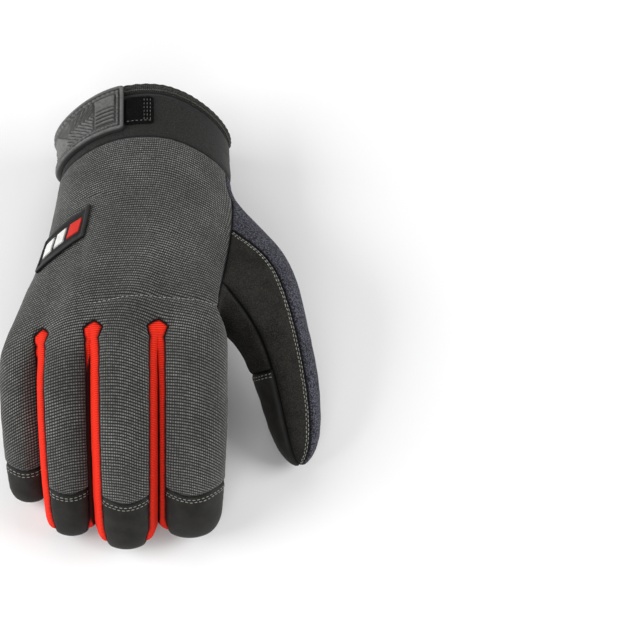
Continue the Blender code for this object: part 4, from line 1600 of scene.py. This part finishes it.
def add_binding():
    """The woven binding rolled over the cuff's rim, extruded round its cross-section."""
    form = glove_form()
    outward = form.verts.layers.float_vector["outward"]
    rim = runs_of([edge for edge in form.edges if len(edge.link_faces) == 1])[0]
    rim = rim[:-1] if rim[0] is rim[-1] else rim
    bm = bmesh.new()
    bm.loops.layers.uv.new("surface")
    half_wall = CUFF_WALL / 2 + BINDING_COVER
    made = bmesh.ops.create_circle(bm, cap_ends=False, radius=1.0, segments=len(rim))
    sections = []
    for step in range(BINDING_SIDES):
        angle = TAU * step / BINDING_SIDES
        ring = []
        for number, vert in enumerate(rim):
            normal = vert[outward]
            rib = 1 + 0.05 * math.cos(TAU * number / 5 + angle * 2)
            out = normal * math.cos(angle) * half_wall * rib
            back = Vector((0, math.sin(angle) * BINDING_HALF * rib + BINDING_SHIFT, 0))
            ring.append(vert.co - normal * CUFF_WALL / 2 + out + back)
        sections.append(ring)
    for vert, place in zip(made["verts"], sections[0]):
        vert.co = place
    first = Ring(list(made["verts"]), [0.0] * len(rim), 0, 0)
    ring = first
    for section in sections[1:]:
        ring = extend(bm, ring, section, ["cuff_band"] * len(rim), 0, 0)
    bmesh.ops.bridge_loops(bm, edges=ring_edges(bm, first.verts) + ring_edges(bm, ring.verts))
    bmesh.ops.recalc_face_normals(bm, faces=bm.faces)
    return bm


# Stitches


def runs_of(edges):
    """Orders edges that join into runs of points."""
    left = set(edges)
    runs = []
    while left:
        edge = left.pop()
        run = list(edge.verts)
        for _ in range(2):
            growing = True
            while growing:
                tip = run[-1]
                joined = [each for each in tip.link_edges if each in left]
                growing = len(joined) == 1
                if growing:
                    left.discard(joined[0])
                    run.append(joined[0].other_vert(tip))
            run.reverse()
        runs.append(run)
    return runs


def seam_runs(panel, other):
    """The seams between two panels, as runs of points."""
    pair = {PANEL[panel], PANEL[other]}
    edges = [
        edge
        for edge in glove_form().edges
        if len(edge.link_faces) == 2 and {face.material_index for face in edge.link_faces} == pair
    ]
    return runs_of(edges)


def inward_row(run, panel, distance):
    """Places at a distance from a seam, on the panel's side of it."""
    form = glove_form()
    resting = form.verts.layers.float_vector["resting"]
    row = []
    for number, vert in enumerate(run):
        here = Vector(vert[resting])
        before, after = run[max(number - 1, 0)], run[min(number + 1, len(run) - 1)]
        tangent = (Vector(after[resting]) - Vector(before[resting])).normalized()
        inward = Vector()
        for face in vert.link_faces:
            if face.material_index == PANEL[panel]:
                inward += face.calc_center_median() - vert.co
        inward -= tangent * inward.dot(tangent)
        if inward.length > 0:
            row.append(here + inward.normalized() * distance)
    return row


def evenly(points, pitch, length):
    """Start and end of each stitch along a line of points."""
    reach = [0.0]
    for before, after in zip(points, points[1:]):
        reach.append(reach[-1] + (after - before).length)
    count = int(reach[-1] / pitch)

    def at(distance):
        for number in range(len(points) - 1):
            if reach[number + 1] >= distance:
                span = max(reach[number + 1] - reach[number], 1e-9)
                return points[number].lerp(points[number + 1], (distance - reach[number]) / span)
        return points[-1]

    slack = (reach[-1] - count * pitch) / 2
    middles = [slack + (number + 0.5) * pitch for number in range(count)]
    return [(at(middle - length / 2), at(middle + length / 2)) for middle in middles]


def join(bm, part):
    """Adds a part to a bmesh and frees the part."""
    mesh = bpy.data.meshes.new("part")
    part.to_mesh(mesh)
    part.free()
    bm.from_mesh(mesh)
    bpy.data.meshes.remove(mesh)


def add_stitch(bm, start, end, normal, radius):
    """One stitch: a bead of thread that lies on the fabric between two places."""
    run = end - start
    along = run.normalized()
    side = normal.cross(along).normalized()
    turn = Matrix((side, along.cross(side), along)).transposed().to_4x4()
    middle = (start + end) / 2 + normal * radius * 0.35
    size = Matrix.Diagonal((radius, radius, run.length / 2, 1))
    matrix = Matrix.Translation(middle) @ turn @ size
    bmesh.ops.create_uvsphere(bm, u_segments=6, v_segments=4, radius=1, matrix=matrix)


def stitch_rows(rows, tree):
    """A bmesh of stitches along rows of places, laid on the surface of the tree."""
    sizes = settings()
    bm = bmesh.new()
    length = sizes.stitch_pitch * 0.72
    for row in rows:
        part = bmesh.new()
        laid = [tree.find_nearest(place) for place in row]
        points = [place for place, _, _, _ in laid if place]
        for start, end in evenly(points, sizes.stitch_pitch, length):
            normal = tree.find_nearest((start + end) / 2)[1]
            add_stitch(part, start, end, normal, sizes.stitch_radius)
        join(bm, part)
    return bm


def free_stitches(rows, surface):
    """A bmesh of stitches along rows of places that already lie on a piece."""
    sizes = settings()
    bm = bmesh.new()
    for row in rows:
        for start, end in evenly(row, sizes.stitch_pitch, sizes.stitch_pitch * 0.6):
            add_stitch(bm, start, end, surface.up(start), sizes.stitch_radius)
    return bm


def seen_from_above(tree, line, step=1.0):
    """Places on the surface under a line of points in millimetres, one for each step along it."""
    places = []
    for start, end in zip(line, line[1:]):
        start, end = Vector(start), Vector(end)
        count = max(int((end - start).length / step), 1)
        for number in range(count):
            x, y = start.lerp(end, number / count)
            places.append(tree.ray_cast(Vector((x, y, 200)) * MM, Vector((0, 0, -1)))[0])
    return places


def seam_stitches(pairs):
    """Stitch rows on one panel beside its seam with another, at each of the distances."""
    bm = bmesh.new()
    for panel, other, spacing in pairs:
        rows = [
            inward_row(run, panel, distance)
            for run in seam_runs(panel, other)
            for distance in spacing
            if len(run) > 8
        ]
        join(bm, stitch_rows(rows, region_tree((panel,))))
    return bm


class WORKGLOVE_OT_knit_back(bpy.types.Operator):
    """Knit back of the hand and fingers"""

    bl_idname = "work_glove.knit_back"
    bl_label = "Knit Back"

    def execute(self, context):
        add_sewn("knit_back", ("back_panel",), KNIT_WALL, "charcoal_knit")
        return {"FINISHED"}


class WORKGLOVE_OT_leather_panels(bpy.types.Operator):
    """Palm, thumb back and fingertips of synthetic leather"""

    bl_idname = "work_glove.leather_panels"
    bl_label = "Leather Panels"

    def execute(self, context):
        add_sewn("leather_palm", ("palm_panel",), LEATHER_WALL, "black_synthetic_leather")
        add_sewn("thumb_leather", ("thumb_back_panel",), LEATHER_WALL, "black_synthetic_leather")
        for finger, node in zip(FINGERS, CAPS):
            slot, finish = "black_synthetic_leather", finish_of("smooth_touch_leather")
            add_sewn(f"{finger.name}_fingertip", (node,), LEATHER_WALL, slot, finish)
        return {"FINISHED"}


class WORKGLOVE_OT_palm_pads(bpy.types.Operator):
    """Quilted pads of the palm with the stitches round them"""

    bl_idname = "work_glove.palm_pads"
    bl_label = "Palm Pads"

    def execute(self, context):
        tree = region_tree(("palm_panel",))
        slot = "black_synthetic_leather"
        outlines = []
        for number, rows in enumerate(PALM_PADS):
            length = (rows[-1].across - rows[0].across) * MM
            width = sum(row.width for row in rows) / len(rows) * MM
            place_at = pad_place(rows, length, width, tree)
            bm = moulded(place_at, length / 2, width / 2, width * 0.45, pad_height, PAD_STEP)
            pad = add_piece(f"palm_pad_{number + 1}", bm, finish_of(slot), slot, ())
            outlines.append(pad_outline(place_at, length / 2, width / 2))
        stitches = stitch_rows(outlines, tree)
        add_piece("palm_stitches", stitches, finish_of("contrast_thread"), slot, ())
        return {"FINISHED"}


class WORKGLOVE_OT_touch_pads(bpy.types.Operator):
    """Smooth pads of the index finger and the thumb"""

    bl_idname = "work_glove.touch_pads"
    bl_label = "Touch Pads"

    def execute(self, context):
        for name in ("index", "thumb"):
            nodes = (f"{name}_touch_pad",)
            add_sewn(f"{name}_pad", nodes, LEATHER_WALL, "smooth_touch_leather")
        return {"FINISHED"}


class WORKGLOVE_OT_gussets(bpy.types.Operator):
    """Stretch fabric between the fingers"""

    bl_idname = "work_glove.gussets"
    bl_label = "Gussets"

    def execute(self, context):
        for node in GUSSETS:
            name = node.replace("fourchette", "gusset")
            add_sewn(name, (node,), GUSSET_WALL, "red_stretch_fabric")
        return {"FINISHED"}


class WORKGLOVE_OT_wipe_panel(bpy.types.Operator):
    """Terry wiping panel along the thumb"""

    bl_idname = "work_glove.wipe_panel"
    bl_label = "Wiping Panel"

    def execute(self, context):
        add_sewn("thumb_terry", ("thumb_wipe_panel",), TERRY_WALL, "navy_terry")
        return {"FINISHED"}


class WORKGLOVE_OT_cuff(bpy.types.Operator):
    """Neoprene cuff with its rolled binding"""

    bl_idname = "work_glove.cuff"
    bl_label = "Cuff"

    def execute(self, context):
        add_sewn("cuff_shell", CUFF_PANELS, CUFF_WALL, "black_neoprene")
        slot = "black_webbing"
        binding = webbing_finish("woven_binding", 0.10)
        add_piece("cuff_rim", add_binding(), binding, slot, ("cuff_binding",), MOULDED_SHARP)
        return {"FINISHED"}


class WORKGLOVE_OT_closure(bpy.types.Operator):
    """Moulded closure strap and the patch that it fastens to"""

    bl_idname = "work_glove.closure"
    bl_label = "Closure"

    def execute(self, context):
        cuff = Surface(CUFF_PANELS)
        middle, half = grown(Surface(("cuff_closure",)), STRAP_GROWTH)
        place_at = on_cuff(cuff, middle, half.y)

        def raised(x, y, inset):
            return strap_height(x, y, inset, half.x)

        strap = moulded(place_at, *half, 2.2 * MM, raised, STRAP_STEP)
        slot = "grey_moulded_rubber"
        add_piece("closure_strap", strap, finish_of(slot), slot, ("cuff_closure",), MOULDED_SHARP)
        middle, half = grown(Surface(("cuff_patch",)), PATCH_GROWTH)
        half.x -= SEAM_LIFT
        patch = moulded(on_cuff(cuff, middle), *half, 1.8 * MM, patch_height, RELIEF_STEP)
        slot = "black_webbing"
        add_piece("closure_patch", patch, finish_of("loop_fabric"), slot, ("cuff_patch",), MOULDED_SHARP)

        def laid(x, y):
            return cuff.at(middle.x + x, middle.y + y, SEAM_LIFT + PATCH_THICKNESS)

        steps = [number / 20 - 0.5 for number in range(21)]
        rows = [
            [laid(half.x - inset * MM, share * 1.8 * half.y) for share in steps]
            for inset in PATCH_STITCH_INSETS
        ]
        rows.append([laid(share * 1.8 * half.x, PATCH_EDGE_ROW * half.y) for share in steps])
        add_piece("patch_stitches", free_stitches(rows, cuff), finish_of("dark_thread"), slot, ())
        return {"FINISHED"}


class WORKGLOVE_OT_pull_tab(bpy.types.Operator):
    """Webbing pull tab under the cuff and its badge"""

    bl_idname = "work_glove.pull_tab"
    bl_label = "Pull Tab"

    def execute(self, context):
        low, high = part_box("pull_tab")
        middle, half = (low + high) / 2, (high - low) / 2
        tab = moulded(
            lambda x, y, height: tab_place(x, y + middle.y, height),
            half.x, half.y, 1.2 * MM, tab_height, RELIEF_STEP,
        )
        slot = "black_webbing"
        add_piece("pull_loop", tab, finish_of(slot), slot, ("pull_tab",), MOULDED_SHARP)
        low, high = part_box("pull_tab_badge")
        half = (high - low) / 2

        def raised(x, y, inset):
            bars = ridge(x + y * 0.35, 1.1 * MM, 0.3 * MM) * ridge(y, 5 * MM, 0.3 * MM)
            return badge_height(x, y, inset, high.z) + 0.5 * MM * bars

        badge = moulded(
            lambda x, y, height: Vector((x, y, high.z - height)),
            half.x, half.y, 1.2 * MM, raised, RELIEF_STEP,
        )
        slot = "grey_moulded_rubber"
        add_piece("pull_badge", badge, finish_of(slot), slot, ("pull_tab_badge",), MOULDED_SHARP)
        return {"FINISHED"}


class WORKGLOVE_OT_back_badge(bpy.types.Operator):
    """Rubber badge on the back of the hand, with plain bars"""

    bl_idname = "work_glove.back_badge"
    bl_label = "Back Badge"

    def execute(self, context):
        place_at = back_badge_place()
        half_x, half_y = BACK_BADGE_LENGTH / 2, BACK_BADGE_WIDTH / 2

        def raised(x, y, inset):
            return badge_height(x, y, inset, BACK_BADGE_THICKNESS)

        badge = moulded(place_at, half_x, half_y, 0.8 * MM, raised, RELIEF_STEP)
        slot = "grey_moulded_rubber"
        dark = rubber_finish("black_moulded_rubber", 0.2)
        add_piece("hand_badge", badge, dark, slot, ("back_badge",), MOULDED_SHARP)
        rubbers = {
            name: bar_finish(f"{name}_moulded_rubber", tint) for name, tint in BAR_COLORS.items()
        }
        for number, (middle, half, rubber) in enumerate(BADGE_BARS):
            bar = moulded(
                lambda x, y, height: place_at(middle * MM + x, y, height),
                half * MM, BADGE_BAR_HALF, 0.3 * MM,
                lambda x, y, inset: (0.7 + 0.3 * ramp(inset, 0.0, 0.3 * MM)) * BACK_BADGE_THICKNESS,
                BAR_STEP,
            )
            add_piece(f"badge_bar_{number + 1}", bar, rubbers[rubber], slot, (), MOULDED_SHARP)
        return {"FINISHED"}


class WORKGLOVE_OT_stitches(bpy.types.Operator):
    """Contrast stitching along the seams"""

    bl_idname = "work_glove.stitches"
    bl_label = "Stitches"

    def execute(self, context):
        thread = finish_of("contrast_thread")
        slot = "black_synthetic_leather"
        rows = [(cap, "back_panel", CAP_ROWS) for cap in CAPS]
        rows += [("index_touch_pad", "palm_panel", CAP_ROWS)]
        add_piece("fingertip_stitches", seam_stitches(rows), thread, slot, ())
        rows = [
            ("thumb_back_panel", "thumb_wipe_panel", THUMB_ROWS),
            ("thumb_touch_pad", "palm_panel", CAP_ROWS),
        ]
        add_piece("thumb_stitches", seam_stitches(rows), thread, slot, ())
        tree = BVHTree.FromBMesh(glove_form())
        line = seen_from_above(tree, KNUCKLE_SEAM)
        add_piece("knuckle_stitches", stitch_rows([line], tree), thread, "charcoal_knit", ())
        return {"FINISHED"}


class WORKGLOVE_OT_stage(bpy.types.Operator):
    """Floor, lights and the camera that matches the photograph"""

    bl_idname = "work_glove.stage"
    bl_label = "Stage"

    def execute(self, context):
        scene = context.scene
        add_floor(scene)
        add_lights(scene)
        add_camera(scene)
        return {"FINISHED"}


def add_floor(scene):
    bm = bmesh.new()
    bmesh.ops.create_grid(bm, x_segments=1, y_segments=1, size=3.0)
    mesh = bpy.data.meshes.new("studio_floor")
    bm.to_mesh(mesh)
    bm.free()
    finish = Finish("studio_floor")
    mesh.materials.append(finish.set(base_color=opaque(settings().floor_color), roughness=0.9))
    floor = bpy.data.objects.new("studio_floor", mesh)
    scene.collection.objects.link(floor)
    floor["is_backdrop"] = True


Lamp = namedtuple("Lamp", "name place size power")
LAMPS = (
    Lamp("left_light", Vector((-0.78, -0.15, 0.42)), 0.60, 9.0),
    Lamp("right_light", Vector((0.82, -0.10, 0.42)), 0.60, 7.6),
    Lamp("back_light", Vector((0.0, 0.65, 0.60)), 0.60, 1.6),
    Lamp("front_light", Vector((-0.1, -0.85, 0.75)), 0.70, 3.8),
)
SKY_STRENGTH = 0.16


def add_lights(scene):
    world = bpy.data.worlds.new("studio")
    world.use_nodes = True
    sky = world.node_tree.nodes["Background"]
    sky.inputs["Color"].default_value = (1, 1, 1, 1)
    sky.inputs["Strength"].default_value = SKY_STRENGTH
    scene.world = world
    scene.view_settings.view_transform = "Standard"
    for lamp in LAMPS:
        light = bpy.data.lights.new(lamp.name, "AREA")
        light.size = lamp.size
        light.energy = lamp.power
        item = bpy.data.objects.new(lamp.name, light)
        aim = CAMERA_TARGET - lamp.place
        turn = aim.to_track_quat("-Z", "Y").to_matrix().to_4x4()
        item.matrix_world = Matrix.Translation(lamp.place) @ turn
        scene.collection.objects.link(item)


def add_camera(scene):
    """A camera at the photograph's angle, turned so that the target lands on its pixel."""
    back = Vector((0, -math.cos(CAMERA_ELEVATION), math.sin(CAMERA_ELEVATION)))
    right = Vector((1, 0, 0))
    up = back.cross(right)
    level = Matrix((right, up, back)).transposed()
    half = FRAME_SIZE / 2
    across = (TARGET_PIXEL[0] - half) / FOCAL_PIXELS
    above = (half - TARGET_PIXEL[1]) / FOCAL_PIXELS
    ray = level @ Vector((across, above, -1)).normalized()
    turn = ray.rotation_difference(-back).to_matrix() @ level
    camera = bpy.data.cameras.new("photo_camera")
    camera.sensor_width = SENSOR_WIDTH
    camera.lens = SENSOR_WIDTH * FOCAL_PIXELS / FRAME_SIZE
    camera.clip_start = 0.01
    item = bpy.data.objects.new("photo_camera", camera)
    place = CAMERA_TARGET + back * CAMERA_DISTANCE
    item.matrix_world = Matrix.Translation(place) @ turn.to_4x4()
    scene.collection.objects.link(item)
    scene.camera = item


class WORKGLOVE_PT_pieces(bpy.types.Panel):
    """Buttons for the glove's pieces"""

    bl_label = "Work Glove"
    bl_idname = "WORKGLOVE_PT_pieces"
    bl_space_type = "VIEW_3D"
    bl_region_type = "UI"
    bl_category = "Glove"

    def draw(self, context):
        layout = self.layout
        for name in WorkGloveSettings.__annotations__:
            layout.prop(context.scene.work_glove, name)
        for operator in OPERATORS:
            layout.operator(operator.bl_idname)


OPERATORS = (
    WORKGLOVE_OT_knit_back,
    WORKGLOVE_OT_leather_panels,
    WORKGLOVE_OT_palm_pads,
    WORKGLOVE_OT_touch_pads,
    WORKGLOVE_OT_gussets,
    WORKGLOVE_OT_wipe_panel,
    WORKGLOVE_OT_cuff,
    WORKGLOVE_OT_closure,
    WORKGLOVE_OT_pull_tab,
    WORKGLOVE_OT_back_badge,
    WORKGLOVE_OT_stitches,
    WORKGLOVE_OT_stage,
)
CLASSES = (WorkGloveSettings, *OPERATORS, WORKGLOVE_PT_pieces)


def register():
    for each in CLASSES:
        bpy.utils.register_class(each)
    bpy.types.Scene.work_glove = bpy.props.PointerProperty(type=WorkGloveSettings)


def unregister():
    del bpy.types.Scene.work_glove
    for each in reversed(CLASSES):
        bpy.utils.unregister_class(each)


def main():
    register()
    for operator in OPERATORS:
        group, name = operator.bl_idname.split(".")
        getattr(getattr(bpy.ops, group), name)()
    boxes = {"cad": CAD_BOX, "visual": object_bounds()}
    sizes = {name: [list(corner) for corner in box] for name, box in boxes.items()}


if __name__ == "__main__":
    main()
